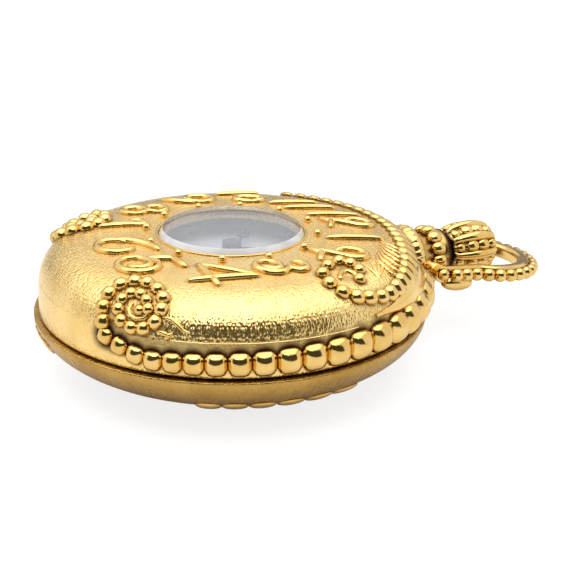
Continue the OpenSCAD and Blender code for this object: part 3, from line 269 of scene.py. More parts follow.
def cushions(centres, ahead, out, half, sink, power, rings=9, count=18):
    """Beads like small cushions: unit spheres pushed out to (|x|^p + |y|^p)^(2/p) + z^2 = 1, for p the power,
    with half lengths along, across and out of the row, and sink for the half that lies in the metal. Gives
    one part of them all, and the height of each point in its bead, from -1 to 1."""
    polar = np.radians(np.linspace(0, 180, rings + 2))[1:-1]
    round_it = np.radians(np.arange(count) * 360 / count)
    x = np.repeat(np.cos(polar)[:, None], count, 1)
    y = np.sin(polar)[:, None] * np.cos(round_it)
    z = np.sin(polar)[:, None] * np.sin(round_it)
    ball, quads, tris = skin(np.stack([x, y, z], -1), poles=CLOSED)
    ball[-2:] = [[1, 0, 0], [-1, 0, 0]]
    plan = (np.abs(ball[:, :2]) ** power).sum(-1, keepdims=True) ** (2 / power)
    ball = ball / np.sqrt(plan + ball[:, 2:] ** 2)
    half, ahead, out = (np.broadcast_to(np.asarray(v, float), (len(centres), 3)) for v in (half, ahead, out))
    sink = np.broadcast_to(np.asarray(sink, float), (len(centres),))
    local = ball[None] * half[:, None]
    local[..., 2] = np.where(ball[None, :, 2] < 0, ball[None, :, 2] * sink[:, None], local[..., 2])
    ahead = unit(ahead - (ahead * out).sum(-1, keepdims=True) * out)
    side = np.cross(out, ahead)
    verts = (centres[:, None] + local[..., :1] * ahead[:, None] + local[..., 1:2] * side[:, None]
             + local[..., 2:] * out[:, None])
    step = len(ball) * np.arange(len(centres))[:, None, None]
    height = np.repeat(ball[None, :, 2], len(centres), 0).ravel()
    return (verts.reshape(-1, 3), (quads + step).reshape(-1, 4), (tris + step).reshape(-1, 3)), height


# The lid's outer surface: r = LID_R cos(q)^(2 / SQUARE_R) and z = LID_H sin(q)^(2 / SQUARE_Z) for q from the
# rim to the top, and the way along it from the seam
quarter = np.linspace(0, np.pi / 2, 1201)[1:-1]
MERIDIAN_R = LID_R * np.cos(quarter) ** (2 / SQUARE_R)
MERIDIAN_Z = LID_H * np.sin(quarter) ** (2 / SQUARE_Z)
MERIDIAN_WAY = np.concatenate([[0], np.cumsum(np.hypot(np.diff(MERIDIAN_R), np.diff(MERIDIAN_Z)))])
MERIDIAN_WAY = MERIDIAN_WAY + MERIDIAN_Z[0]


def way_of(radius):
    """Way up the lid from the seam at which it has that radius."""
    return np.interp(-np.asarray(radius, float), -MERIDIAN_R, MERIDIAN_WAY)


def on_lid(row, way):
    """Place on the lid for a row angle in degrees and a way up from the seam, and the way out of it there.
    The lid is (r / LID_R)^SQUARE_R + (z / LID_H)^SQUARE_Z = 1, and out is its slope in r and z."""
    row, way = np.broadcast_arrays(row, way)
    a = np.radians(row)
    r = np.interp(way, MERIDIAN_WAY, MERIDIAN_R)
    z = np.interp(way, MERIDIAN_WAY, MERIDIAN_Z)
    nr = SQUARE_R * (r / LID_R) ** (SQUARE_R - 1) / LID_R
    nz = SQUARE_Z * (z / LID_H) ** (SQUARE_Z - 1) / LID_H
    place = np.stack([r * np.cos(a), r * np.sin(a), SEAM_Z + z], -1)
    return place, unit(np.stack([nr * np.cos(a), nr * np.sin(a), nz], -1))


def over_lid(plan):
    """Places on the lid above points of the plan, and the way out of it there."""
    r = np.hypot(plan[:, 0], plan[:, 1])
    return on_lid(np.degrees(np.arctan2(plan[:, 1], plan[:, 0])), way_of(r))


def lid_width(height):
    """Radius of the lid at a height above the seam: LID_R (1 - (height / LID_H)^SQUARE_Z)^(1 / SQUARE_R)."""
    return LID_R * (1 - (height / LID_H) ** SQUARE_Z) ** (1 / SQUARE_R)


# Materials
def linear(code):
    """An sRGB colour written as hex, in linear light, with an alpha of one."""
    parts = [int(code[i:i + 2], 16) / 255 for i in (1, 3, 5)]
    return [p / 12.92 if p <= 0.04045 else ((p + 0.055) / 1.055) ** 2.4 for p in parts] + [1.0]


def fill(tree, node, sockets):
    """Fills sockets given by name or number, or the first ones if given as a list, each with a link or a
    plain value. A node stands for its first output."""
    for socket, source in sockets.items() if isinstance(sockets, dict) else enumerate(sockets):
        if isinstance(source, bpy.types.Node):
            source = source.outputs[0]
        if isinstance(source, bpy.types.NodeSocket):
            tree.links.new(source, node.inputs[socket])
        else:
            node.inputs[socket].default_value = source


def add(tree, kind, sockets=(), **settings):
    """Adds a shader node with its own settings and fills its sockets."""
    node = tree.nodes.new("ShaderNode" + kind)
    for name, value in settings.items():
        setattr(node, name, value)
    fill(tree, node, sockets)
    return node


def new_material(name):
    """An empty node tree with a Principled shader that is already the surface."""
    material = bpy.data.materials.new(name)
    material.use_nodes = True
    tree = material.node_tree
    tree.nodes.clear()
    shader = add(tree, "BsdfPrincipled")
    add(tree, "OutputMaterial", {"Surface": shader})
    return material, tree, shader


def show(tree, surface):
    """Makes another shader the material's surface."""
    fill(tree, [node for node in tree.nodes if node.type == "OUTPUT_MATERIAL"][0], {"Surface": surface})


def place_of(tree):
    """The object's own coordinates in millimetres, whole and as x, y and z."""
    coords = add(tree, "TexCoord").outputs["Object"]
    place = add(tree, "VectorMath", {0: coords, "Scale": 1 / MM}, operation="SCALE")
    return place, add(tree, "SeparateXYZ", [place]).outputs


def meridian_place(tree, wide, long):
    """Place drawn out along the meridians of the case, in steps of wide across them and long along them. With
    r for the way from the axis it is x LID_R / (r wide), y LID_R / (r wide) and (r - z) / long."""
    place, (x, y, z) = place_of(tree)
    squares = [add(tree, "Math", [side, side], operation="MULTIPLY") for side in (x, y)]
    root = add(tree, "Math", [add(tree, "Math", squares, operation="ADD")], operation="SQRT")
    r = add(tree, "Math", [root, 0.01], operation="MAXIMUM")
    turned = [add(tree, "Math", [add(tree, "Math", [side, r], operation="DIVIDE"), LID_R / wide],
                  operation="MULTIPLY") for side in (x, y)]
    rise = add(tree, "Math", [add(tree, "Math", [r, z], operation="SUBTRACT"), long], operation="DIVIDE")
    return add(tree, "CombineXYZ", [*turned, rise]), place, z


def stroke_noise(tree, wide, long):
    """Noise drawn out along the meridians of the case: wide across them, long along them, in millimetres."""
    vector, place, _ = meridian_place(tree, wide, long)
    return add(tree, "TexNoise", {"Vector": vector, "Scale": 1.0, "Detail": 1.0, "Roughness": 0.4}), place


def patches(tree, place, size, low=0.0, high=1.0, spread=0.2):
    """A value that drifts between low and high over patches of a size in millimetres, softly if spread is
    wide."""
    noise = add(tree, "TexNoise", {"Vector": place, "Scale": 1 / size})
    return add(tree, "MapRange", [noise, 0.5 - spread, 0.5 + spread, low, high])


def two_tones(tree, place, size, light, deep, spread=0.15):
    """A colour that drifts between two tones over patches of a size in millimetres."""
    share = patches(tree, place, size, spread=spread)
    return add(tree, "Mix", {0: share, 6: linear(light), 7: linear(deep)}, data_type="RGBA").outputs[2]


# Dirt and old polish, and shade painted into the hollows, a dark red brown
GRIME_AND_SHADE = "#3A1C12"


def grimed(tree, colour):
    """The colour, browned in the hollows as dirt and old polish and as painted shade, and the roughness that
    these add.
    """
    dirt_and_shade = add(tree, "Attribute", attribute_name="grime_and_shade").outputs["Fac"]
    browned = add(tree, "Mix", {0: dirt_and_shade, 6: colour, 7: linear(GRIME_AND_SHADE)}, data_type="RGBA").outputs[2]
    return browned, add(tree, "Math", [dirt_and_shade, 0.3], operation="MULTIPLY")


def gold(name, light, deep, roughness, wide, long, depth, patch):
    """Yellow gold or brass: two tones that drift over patches, and fine cuts of a width, length and depth,
    all in millimetres."""
    material, tree, shader = new_material(name)
    strokes, place = stroke_noise(tree, wide, long)
    colour, dull = grimed(tree, two_tones(tree, place, patch, light, deep))
    shine = patches(tree, place, patch / 3, roughness * 0.8, roughness * 1.2)
    fill(tree, shader, {
        "Base Color": colour, "Roughness": add(tree, "Math", [shine, dull], operation="ADD"), "Metallic": 1.0,
        "Normal": add(tree, "Bump", {"Height": strokes, "Strength": 1.0, "Distance": depth * MM})})
    return material


def matted_gold():
    """18 carat gold, matted by hand with a graver: cuts 0.17 mm wide and 0.42 mm long in rows along the
    meridians, fainter by the window, and grains punched 0.22 mm apart below the scribed line, so that the
    light breaks into sparks."""
    material, tree, shader = new_material("gold_matted_with_graver")
    vector, place, z = meridian_place(tree, 0.17, 0.42)
    cuts = add(tree, "TexVoronoi", {"Vector": vector, "Scale": 1.0, "Randomness": 0.62}, feature="SMOOTH_F1")
    grains = add(tree, "TexNoise", {"Vector": place, "Scale": 1 / 0.22, "Detail": 1.0})
    above = add(tree, "MapRange", [z, SEAM_Z + SCRIBE_UP - 0.07, SEAM_Z + SCRIBE_UP + 0.08])
    strong = add(tree, "MapRange", [z, SEAM_Z + LID_H * 0.86, SEAM_Z + LID_H * 0.985, -1.0, -0.4])
    height = add(tree, "Mix", {0: above, 2: add(tree, "Math", [grains, 0.6], operation="MULTIPLY"),
                               3: add(tree, "Math", [cuts, strong], operation="MULTIPLY")})
    tone = two_tones(tree, place, 3.0, "#F8D78E", "#EEC97E")
    wear = add(tree, "MapRange", [cuts, 0.45, 0.8, 0.0, 0.3])
    worn = add(tree, "Mix", {0: wear, 6: tone, 7: linear("#C08A3C")}, data_type="RGBA").outputs[2]
    colour, dull = grimed(tree, worn)
    shine = add(tree, "MapRange", [grains, 0.3, 0.7, 0.2, 0.32])
    fill(tree, shader, {
        "Base Color": colour, "Roughness": add(tree, "Math", [shine, dull], operation="ADD"), "Metallic": 1.0,
        "Normal": add(tree, "Bump", {"Height": height, "Strength": 1.0, "Distance": 0.09 * MM})})
    return material


def steel(name, colour, roughness):
    """Steel drawn and polished: a grey mirror crossed by faint lines 0.05 mm wide."""
    material, tree, shader = new_material(name)
    strokes, place = stroke_noise(tree, 0.05, 2.0)
    fill(tree, shader, {
        "Base Color": linear(colour), "Metallic": 1.0,
        "Roughness": patches(tree, place, 0.8, roughness * 0.8, roughness * 1.3),
        "Normal": add(tree, "Bump", {"Height": strokes, "Strength": 0.4, "Distance": 0.004 * MM})})
    return material


GLASS_IOR = 1.52


def watch_glass():
    """Watch glass, ground and polished: clear and faintly blue, and a mirror to the room at a low angle."""
    material, tree, shader = new_material("polished_watch_glass")
    place, _ = place_of(tree)
    waves = add(tree, "TexNoise", {"Vector": place, "Scale": 1 / 3.0, "Detail": 0.0})
    gloss = add(tree, "Fresnel", {"IOR": GLASS_IOR})
    fill(tree, shader, {
        "Base Color": linear("#E9ECF1"), "Roughness": 0.02, "IOR": GLASS_IOR,
        "Alpha": add(tree, "MapRange", [gloss, 0.04, 0.6, 0.02, 0.3]),
        "Normal": add(tree, "Bump", {"Height": waves, "Strength": 0.1, "Distance": 0.01 * MM})})
    return material


def thin_glass():
    """Blown glass cut thin for the flat inner glass over the dial: clear, with a faint shine."""
    material, tree, shader = new_material("thin_dial_glass")
    place, _ = place_of(tree)
    fill(tree, shader, {"Base Color": linear("#E8ECF0"), "Roughness": 0.02,
                        "Alpha": patches(tree, place, 3.0, 0.02, 0.04)})
    return material


def ground_glass():
    """Glass finely ground on the crystal's bevel, not quite polished, and painted pale as a highlight: a pale
    band.
    """
    material, tree, shader = new_material("ground_glass_bevel_painted_pale")
    place, _ = place_of(tree)
    fill(tree, shader, {"Base Color": two_tones(tree, place, 1.5, "#E2E6EB", "#F2F4F7", 0.2),
                        "Roughness": patches(tree, place, 0.5, 0.06, 0.14),
                        "Transmission Weight": 0.25, "Coat Weight": 0.5})
    return material


def enamel(name, colour, speck):
    """Enamel fired on copper: a glossy glass coat over an even colour with faint clouds."""
    material, tree, shader = new_material(name)
    place, _ = place_of(tree)
    waves = add(tree, "TexNoise", {"Vector": place, "Scale": 1 / 1.2})
    fill(tree, shader, {
        "Base Color": two_tones(tree, place, 2.5, colour, speck), "Roughness": 0.12, "Coat Weight": 0.5,
        "Normal": add(tree, "Bump", {"Height": waves, "Strength": 0.2, "Distance": 0.01 * MM})})
    return material


def ruby():
    """Synthetic ruby, turned and polished: a clear red stone with a bright face."""
    material, tree, shader = new_material("polished_synthetic_ruby")
    place, _ = place_of(tree)
    fill(tree, shader, {"Base Color": two_tones(tree, place, 0.4, "#B8324A", "#8E1C36"), "Roughness": 0.08,
                        "IOR": 1.76, "Transmission Weight": 0.3})
    return material


FINISHES = {
    "satin_gold": matted_gold(),
    # Gold smoothed with emery sticks: satin, with faint lines 0.2 mm wide, and painted darker than the lid's
    # gold as shade on the lower shell
    "back_gold": gold("gold_smoothed_with_emery_painted_dark", "#C29C55", "#B08944", 0.28, 0.2, 0.5, 0.12, 4.0),
    # Gold burnished to a mirror, with the slight waves, about a millimetre long, that a burnisher leaves
    "bead_gold": gold("gold_burnished", "#ECC87E", "#E0B868", 0.14, 0.9, 1.4, 0.02, 2.0),
    # Gold wire, drawn, soldered on and polished: bright, with softer waves half a millimetre wide
    "wire_gold": gold("gold_wire_polished", "#F3CF84", "#E8BF6E", 0.18, 0.5, 0.8, 0.02, 2.0),
    "case_glass": watch_glass(),
    "dial_enamel": enamel("white_fired_enamel", "#FAFCFF", "#F0F4FA"),
    "dial_ink": enamel("black_enamel_ink", "#1C1D22", "#2A2C34"),
    # Steel oxidised by heat and oil, a soft blue grey
    "hand_steel": steel("oxidised_steel", "#3E404B", 0.35),
    # Brass turned on the lathe: a soft sheen with fine tool lines
    "ring_brass": gold("turned_brass", "#D8BC78", "#C6A862", 0.3, 0.15, 3.0, 0.01, 3.0),
    # Brass plates grained with a brush and gilt, a soft even glitter
    "plate_gilt": gold("grained_gilt_brass", "#E6CE92", "#D8BC78", 0.36, 0.1, 0.1, 0.02, 2.0),
    # Brass wheels cut, then polished: bright yellow with short faint lines
    "wheel_brass": gold("polished_wheel_brass", "#E0BE68", "#D2AE56", 0.2, 0.3, 0.6, 0.008, 1.5),
    # Steel polished on a tin block, a bright grey, and the same coloured by heat
    "steel": steel("polished_steel", "#A4A9B0", 0.22),
    "blued_steel": steel("heat_blued_steel", "#2E4488", 0.2),
    "ruby": ruby(),
}
for node, made in frame["nodes"].items():
    made.data.materials.clear()
    made.data.materials.append(FINISHES[SLOT_OF[node]])
frame["nodes"]["dial_crystal"].data.materials[0] = thin_glass()


# The lid
RIM_DROP = 0.27
# Room left round the neck, and beside and above the catch
NECK_ROOM = 0.3
CATCH_ROOM = 0.2
CATCH_ROOM_UP = 0.15


def lid_outline():
    """Radius and height above the seam round the lid's wall: up the outside to the window's seat, down to the
    inside and back to the rim."""
    edge = 0.1
    soft = 0.03
    low = SEAM_GAP - RIM_DROP
    way = np.linspace(low + edge, way_of(SEAT_R + edge), 110)
    outer = np.stack([np.interp(way, MERIDIAN_WAY, side) for side in (MERIDIAN_R, MERIDIAN_Z)], -1)
    seat = [[SEAT_R + soft, LID_H - soft], [SEAT_R, LID_H - edge], [SEAT_R, LID_H - SEAT_DEPTH],
            [WINDOW_R, LID_H - SEAT_DEPTH], [WINDOW_R, LID_IN_H]]
    a = np.linspace(np.pi / 2 - soft, soft, 50)
    inner = np.stack([LID_IN_R * np.cos(a) ** (2 / SQUARE_R), LID_IN_H * np.sin(a) ** (2 / SQUARE_Z)], -1)
    inner = inner[(inner[:, 0] > WINDOW_R + 0.2) & (inner[:, 1] > SEAM_GAP + 0.1)]
    rim = [[LID_IN_R, low], [LID_R - edge, low], [LID_R - soft, low + soft]]
    return np.concatenate([outer, seat, inner, rim])


def carried(outline, y0, y1):
    """A solid whose outline in x and z is carried along y."""
    rings = [np.stack([outline[:, 0], np.full(len(outline), y), outline[:, 1]], -1) for y in (y0, y1)]
    return skin(np.stack(rings), poles=CLOSED)


def neck_notch(radius):
    """Outline of the notch in the lid that straddles the neck: a half round above, open below."""
    a = np.radians(np.linspace(0, 180, 33))
    arch = np.stack([radius * np.cos(a), STEM_Z + radius * np.sin(a)], -1)
    return np.concatenate([arch, [[-radius, SEAM_Z - 0.5], [radius, SEAM_Z - 0.5]]])


def box_part(low, high):
    """A plain box between two corners."""
    (x0, y0, z0), (x1, y1, z1) = low, high
    base = np.array([[x0, y0], [x1, y0], [x1, y1], [x0, y1]])
    rings = np.stack([np.concatenate([base, np.full((4, 1), z)], 1) for z in (z0, z1)])
    return skin(rings, poles=CLOSED)


outline = lid_outline()
lid = mesh_object("lid_case", skin(turn(outline[:, 0], SEAM_Z + outline[:, 1], 600), along=True))
catch_low, catch_high = corners("lid_catch")
lid_cuts = mesh_object("lid_cuts", join([
    carried(neck_notch(NECK_R + NECK_ROOM), LIP_IN_R - 0.6, LID_R + 1),
    box_part([LID_IN_R - 0.6, catch_low[1] - CATCH_ROOM, catch_low[2] - CATCH_ROOM_UP],
             [LID_IN_R + 0.3, catch_high[1] + CATCH_ROOM, catch_high[2] + CATCH_ROOM_UP])]))
dress(cut(lid, lid_cuts), "lid_shell", ["lid_shell"])


# The ropes of beads on the lid, laid out as in the frame
BEAD_D = 1.08
BEAD_ROOM = 1.07
# A bead's half length, width and height as shares of its size, and how far its middle lies over the lid
BEAD_LONG = 0.56
BEAD_WIDE = 0.54
BEAD_HIGH = 0.54
BEAD_LIFT = 0.06
# Degrees that a rolled head turns, between which of them it draws in, and over which it flares at its end
HEAD_SWEEP = 600
HEAD_DRAW_IN = (230, 400)
HEAD_FLARE_SWEEP = 90
HEAD_FLARE = 0.35


def rolled_head(row, radius, wide, start, hand):
    """Rows and ways of a rolled head: a spiral about a row and radius, from its inner end out to the start
    angle. Its radius is wide at first, falls smoothly to half of that, and flares where the run begins."""
    k = np.arange(HEAD_SWEEP, -1, -10)
    t = np.clip((k - HEAD_DRAW_IN[0]) / (HEAD_DRAW_IN[1] - HEAD_DRAW_IN[0]), 0, 1)
    r = wide - wide / 2 * t * t * (3 - 2 * t) + HEAD_FLARE * np.maximum(0, 1 - k / HEAD_FLARE_SWEEP)
    a = np.radians(start - hand * k)
    way = way_of(radius) + r * np.sin(a)
    return np.stack([row + np.degrees(r * np.cos(a) / np.interp(way, MERIDIAN_WAY, MERIDIAN_R)), way], -1)


def bead_row(line, grow, first=BEAD_D):
    """Places of beads along rows and ways, at a pitch that starts at the first bead's and grows evenly."""
    path, _ = on_lid(line[:, 0], line[:, 1])
    run = np.concatenate([[0], np.cumsum(np.linalg.norm(np.diff(path, axis=0), axis=1))])
    spots, sizes = [], []
    at, pitch = first * BEAD_ROOM / 2, first * BEAD_ROOM
    while at < run[-1]:
        spots.append(at)
        sizes.append((pitch + grow * len(sizes)) / BEAD_ROOM)
        at += pitch + grow * (len(sizes) - 1)
    spots = np.array(spots)
    rows = np.interp(spots, run, line[:, 0])
    ways = np.interp(spots, run, line[:, 1])
    return rows, ways, np.array(sizes)


def rope_part(rows, ways, sizes, across=BEAD_WIDE, power=2.6, middle=None):
    """Cushion beads along rows and ways on the lid, lower where they are wider across, with a round bead at
    the middle of the head."""
    centres, out = on_lid(rows, ways)
    ahead = unit(np.gradient(centres, axis=0))
    high = BEAD_HIGH - 0.45 * (across - BEAD_WIDE)
    half = np.stack([sizes * BEAD_LONG, sizes * across, sizes * high], -1)
    part, height = cushions(centres + out * BEAD_LIFT, ahead, out, half, np.minimum(sizes / 2, 0.5), power)
    parts, heights, spots = [part], [height], [centres]
    if middle is not None:
        spot, up = on_lid(np.array([middle[0]]), np.array([middle[1]]))
        part, height = cushions(spot, [1, 0, 0], up, BEAD_D / 2 * 0.85, 0.5, 2.0)
        parts.append(part)
        heights.append(height)
        spots.append(spot)
    return parts, np.concatenate(heights), np.concatenate(spots)


def head_beads(places, size_0, size_1):
    """Beads of a rolled head, each at its own row and way, shrinking evenly towards the inner end."""
    places = np.array(places, float)
    return places[:, 0], places[:, 1], np.linspace(size_0, size_1, len(places))


def join_rows(*rows):
    """Several rows of beads as one."""
    return [np.concatenate(parts) for parts in zip(*rows)]


def with_curl(parts, heights, rows, ways, radius):
    """Adds the ring of wire that holds a head's middle, which takes no dirt and no painted shade."""
    curl = wire(*on_lid(np.array(rows), np.array(ways)), radius)
    return parts + [curl], np.concatenate([heights, np.ones(len(curl[0]))])


# Start, fall and most of the dirt and painted shade on the ropes
ROPE_DIRT_AND_SHADE = (0.45, 1.5, 0.95)
side_run = [[28, 16.75], [35, 16.65], [42, 16.5], [48, 16.3], [55, 15.95], [62, 15.7],
            [70, 15.6], [80, 15.7], [92, 15.85], [104, 16], [116, 16.1], [128, 16.2], [140, 16.4]]
back_run = [[226, 16.9], [217, 17.1], [206, 17.15], [194, 17.15], [180, 17.1], [165, 17.1]]


def with_run(head, run):
    """A head's line and then its run, given as row angle and radius."""
    run = np.array(run, float)
    return np.concatenate([head, np.stack([run[:, 0], way_of(run[:, 1])], -1)])


# The side rope's head, from its inner end to where the run begins
side_head = [[21.2, 7.0], [26, 7.98], [27.2, 9.12], [25.5, 10.01], [18.5, 10.01], [11.8, 9.15], [9.8, 7.6],
             [11.2, 6.3], [14.7, 5.5], [18.9, 5.1]]
side_line = with_run([[21.5, 4.95], [24, 4.75]], side_run)
side_row = join_rows(head_beads(side_head, 0.98, 1.25), bead_row(side_line, 0.013, 1.2))
# The beads of the run are wider than those of the head, and the first five grow into that
side_across = BEAD_WIDE + 0.3 * np.clip((np.arange(len(side_row[0])) - len(side_head)) / 5, 0, 1)
side_parts, side_heights, side_spots = rope_part(*side_row, across=side_across)
side_parts, side_heights = with_curl(side_parts, side_heights, [15.5, 17, 19, 21.5, 22.5, 21.8, 20.5],
                                     [7.9, 8.3, 8.6, 8.45, 7.9, 7.4, 7.1], 0.26)
beads("side_bead_rope", "lid_rope_side", side_parts, side_heights, *ROPE_DIRT_AND_SHADE)
back_parts, back_heights, back_spots = rope_part(
    *bead_row(with_run(rolled_head(230, 14.6, 2.3, -70, -1), back_run), 0.018), middle=(230, way_of(14.6)))
beads("back_bead_rope", "lid_rope_back", back_parts, back_heights, *ROPE_DIRT_AND_SHADE)

# The front rope's head, from its outer end, and its run along the rim
front_head = [[299.4, 3.6], [298.2, 4.68], [297.6, 5.86], [298.7, 7.05], [302, 7.84], [306.6, 7.98],
              [311.6, 7.5], [315, 6.6], [316, 5.48], [315.1, 4.42], [312.1, 3.78], [308.5, 3.66],
              [305.1, 4.02], [303.2, 4.85], [302.9, 5.72], [304.4, 6.42], [307.5, 6.56], [310.4, 6.1],
              [312.1, 5.35]]
front_parts, front_heights, front_spots = rope_part(*head_beads(front_head, 1.24, 0.92), middle=(309.6, 5.15))
front_parts, front_heights = with_curl(front_parts, front_heights,
                                       [312.4, 312.8, 311.8, 309.6, 307.3, 306.3, 306.6],
                                       [5.3, 4.95, 4.55, 4.38, 4.55, 5.05, 5.5], 0.2)
RIM_START_ROW = 300.5
RIM_BEADS = 18
RIM_PITCH = 1.4
RIM_PITCH_END = 2.8
RIM_CLIMB = 1.35
RIM_CLIMB_BEADS = 3
# A rim bead's half length, width and height as shares of its size
RIM_HALF = np.array([0.545, 0.58, 0.5])
order = np.arange(RIM_BEADS + 1)
rim_grow = (RIM_PITCH_END - RIM_PITCH) / RIM_BEADS
rim_way = RIM_PITCH * order + rim_grow * order * (order - 1) / 2
rim_d = (RIM_PITCH + rim_grow * (order - 0.5)) / BEAD_ROOM
rim_row = np.radians(RIM_START_ROW) + rim_way / LID_R
# The first beads of the run climb from the rim towards the head
rim_up = SEAM_GAP + rim_d / 2 + RIM_CLIMB * np.maximum(0, 1 - order / RIM_CLIMB_BEADS) ** 1.5
rim_r = lid_width(rim_up) - 0.05
rim_spots = np.stack([rim_r * np.cos(rim_row), rim_r * np.sin(rim_row), SEAM_Z + rim_up + 0.12], -1)
rim_out = rays(rim_row)
rim_ahead = unit(np.gradient(rim_spots, axis=0))
rim_part, rim_heights = cushions(rim_spots, rim_ahead, rim_out, rim_d[:, None] * RIM_HALF, 0.36, 3.4,
                                 rings=13, count=24)
beads("front_bead_rope", "lid_rope_front", front_parts + [rim_part],
      np.concatenate([front_heights, rim_heights]), *ROPE_DIRT_AND_SHADE)


# Numerals bent from round wire, each stroke on the lid's surface
WIRE_R = 0.36
DIGIT_H = 4.8


def arc(cx, cy, rx, ry, a0, a1):
    """Part of an ellipse, in shares of a numeral's height."""
    a = np.radians(np.linspace(a0, a1, 30))
    return np.stack([cx + rx * np.cos(a), cy + ry * np.sin(a)], -1)


def line(*points):
    """A stroke through a few points, with small steps between them."""
    points = np.array(points, float)
    at = np.linspace(0, len(points) - 1, 12 * (len(points) - 1) + 1)
    return np.stack([np.interp(at, np.arange(len(points)), points[:, k]) for k in (0, 1)], -1)


ONE = [line([0, -0.5], [0.02, 0], [0, 0.5])]
TWO = [np.concatenate([arc(0, 0.24, 0.24, 0.26, 230, -50), line([0.15, 0.02], [-0.3, -0.44])[4:]]),
       line([-0.3, -0.44], [-0.02, -0.34], [0.3, -0.5])]
THREE = [arc(0, 0.3, 0.24, 0.2, 160, -80), arc(0, -0.2, 0.33, 0.3, 85, -200),
         arc(-0.08, -0.18, 0.24, 0.17, 165, -80)]
FOUR = [line([0.14, 0.5], [-0.42, -0.15]), line([-0.44, -0.17], [0.36, -0.17]),
        line([0.14, 0.5], [0.14, -0.5])]
FIVE = [line([0.24, 0.5], [-0.16, 0.44]), line([-0.16, 0.44], [-0.22, 0.06]),
        arc(0, -0.18, 0.34, 0.32, 130, -190), arc(-0.08, -0.16, 0.25, 0.18, 180, -70)]
SIX = [arc(0, -0.18, 0.36, 0.32, 130, 420), arc(0.5, -0.18, 0.86, 0.68, 175, 100)]
SEVEN = [line([-0.28, 0.3], [-0.2, 0.5], [0.1, 0.5]), line([0.1, 0.5], [0, 0.05], [-0.06, -0.5])]
EIGHT = [arc(0, 0.25, 0.23, 0.23, 0, 354), arc(0, -0.24, 0.27, 0.26, 0, 354)]
NINE = [arc(0, 0.2, 0.28, 0.28, 0, 354), arc(-0.3, 0.1, 0.58, 0.62, -10, -80)]
ZERO = [arc(0, 0, 0.34, 0.48, 0, 354)]
# Each numeral with the place of its middle on the lid and its share of the full height
NUMERALS = [(ONE, -0.95, 11.15, 1), (TWO, 1.7, 11.1, 0.9), (ONE, 5.85, 9.6, 1),
            (TWO, 9.1, 6.1, 0.93), (THREE, 10.1, 0, 0.84), (FOUR, 9.6, -5.35, 1.1), (FIVE, 4.9, -9.75, 1.02),
            (SIX, -0.2, -10.1, 0.95), (SEVEN, -5.7, -8.4, 0.78), (EIGHT, -9.3, -4.95, 0.85),
            (NINE, -10.9, 0.3, 0.9), (ONE, -11.3, 5.7, 0.8), (ZERO, -8.6, 5.7, 0.55),
            (ONE, -5.95, 9.35, 0.9), (ONE, -3.85, 10.05, 0.95)]
# The numerals lean to the right by this share of their height, and stand this much proud of half sunk
LEAN = 0.28
WIRE_LIFT = 0.05


def numeral_strokes():
    """Every stroke as places on the lid and the way out of it."""
    for glyph, x, y, share in NUMERALS:
        for stroke in glyph:
            leaning = stroke + stroke[:, 1:] * [LEAN, 0]
            place, out = over_lid(np.array([x, y]) + leaning * DIGIT_H * share)
            yield place + out * WIRE_LIFT, out


numeral_parts, numeral_spots = [], []
for place, out in numeral_strokes():
    along = np.linspace(0, 1, len(place))
    thick = WIRE_R * (0.62 + 0.38 * np.sin(np.pi * along) ** 0.4)
    numeral_parts.append(wire(place, out, thick))
    numeral_spots.append(place[::3])
piece("wire_numerals", numeral_parts, "hour_numerals", ["hour_numerals"])

DOT_RING_R = 7.8
DOT_D = 0.75
dot_spots, dot_out = on_lid(np.arange(12) * 30.0, way_of(DOT_RING_R))
dot_part, _ = cushions(dot_spots + dot_out * DOT_D * 0.2, np.roll(dot_out, 1, 1), dot_out, DOT_D / 2,
                       DOT_D / 2, 2.0)
piece("hour_studs", [dot_part], "hour_dots", ["hour_dots"])


# Small chased ornament on the lid
def lid_line(points, lift=0.0, count=24, by_way=False):
    """A smooth line on the lid through a few rows and radii, or rows and ways, and the way out of it."""
    points = np.array(points, float)
    knots = np.arange(len(points))
    at = np.linspace(0, len(points) - 1, count)
    row = np.interp(at, knots, points[:, 0])
    way = np.interp(at, knots, points[:, 1] if by_way else way_of(points[:, 1]))
    for _ in range(3):
        row[1:-1] = (row[:-2] + 2 * row[1:-1] + row[2:]) / 4
        way[1:-1] = (way[:-2] + 2 * way[1:-1] + way[2:]) / 4
    place, out = on_lid(row, way)
    return place + out * lift, out


def tapered(points, radii, sides=10, **where):
    """A wire on the lid along a smooth line, its radius passing from the first by the middle to the last."""
    place, out = lid_line(points, **where)
    return wire(place, out, np.interp(np.linspace(0, 1, len(place)), [0, 0.5, 1], radii), sides)


# Three wire tendrils leave the front head, and a fan of curved flutes fills the side rope's bend
tendrils = [[[317.2, 16.65], [319.6, 16.7], [321.4, 16.9], [323.2, 17.12], [324.8, 17.15]],
            [[316.5, 17.2], [318.2, 17.24], [319.8, 17.3]],
            [[318.6, 17.33], [319.4, 17.26], [320.2, 17.2]]]
piece("front_tendrils", [tapered(points, (0.16, 0.2, 0.08)) for points in tendrils], "lid_rope_front")
FLUTES = 7
first_flute = np.array([[61, 8.4], [56.5, 7.8], [55, 6.9], [56.2, 6.2]])
last_flute = np.array([[43, 8.3], [37.5, 7.6], [34.8, 6.0], [37, 5.4]])
flute_parts = [tapered(first_flute * (1 - share) + last_flute * share, (0.1, 0.21, 0.16), lift=0.07,
                       by_way=True) for share in np.linspace(0, 1, FLUTES)]
ray_foot = np.array([28.5, 6.3])
ray_tips = np.array([[32, 8.7], [38, 8.9], [44, 8.75], [49, 8.4]])
ray_parts = [tapered([ray_foot * 0.3 + tip * 0.7, ray_foot], (0.1, 0.2, 0.14), 8, lift=-0.02, by_way=True)
             for tip in ray_tips]
piece("fan_leaf", flute_parts + ray_parts, "lid_shell")
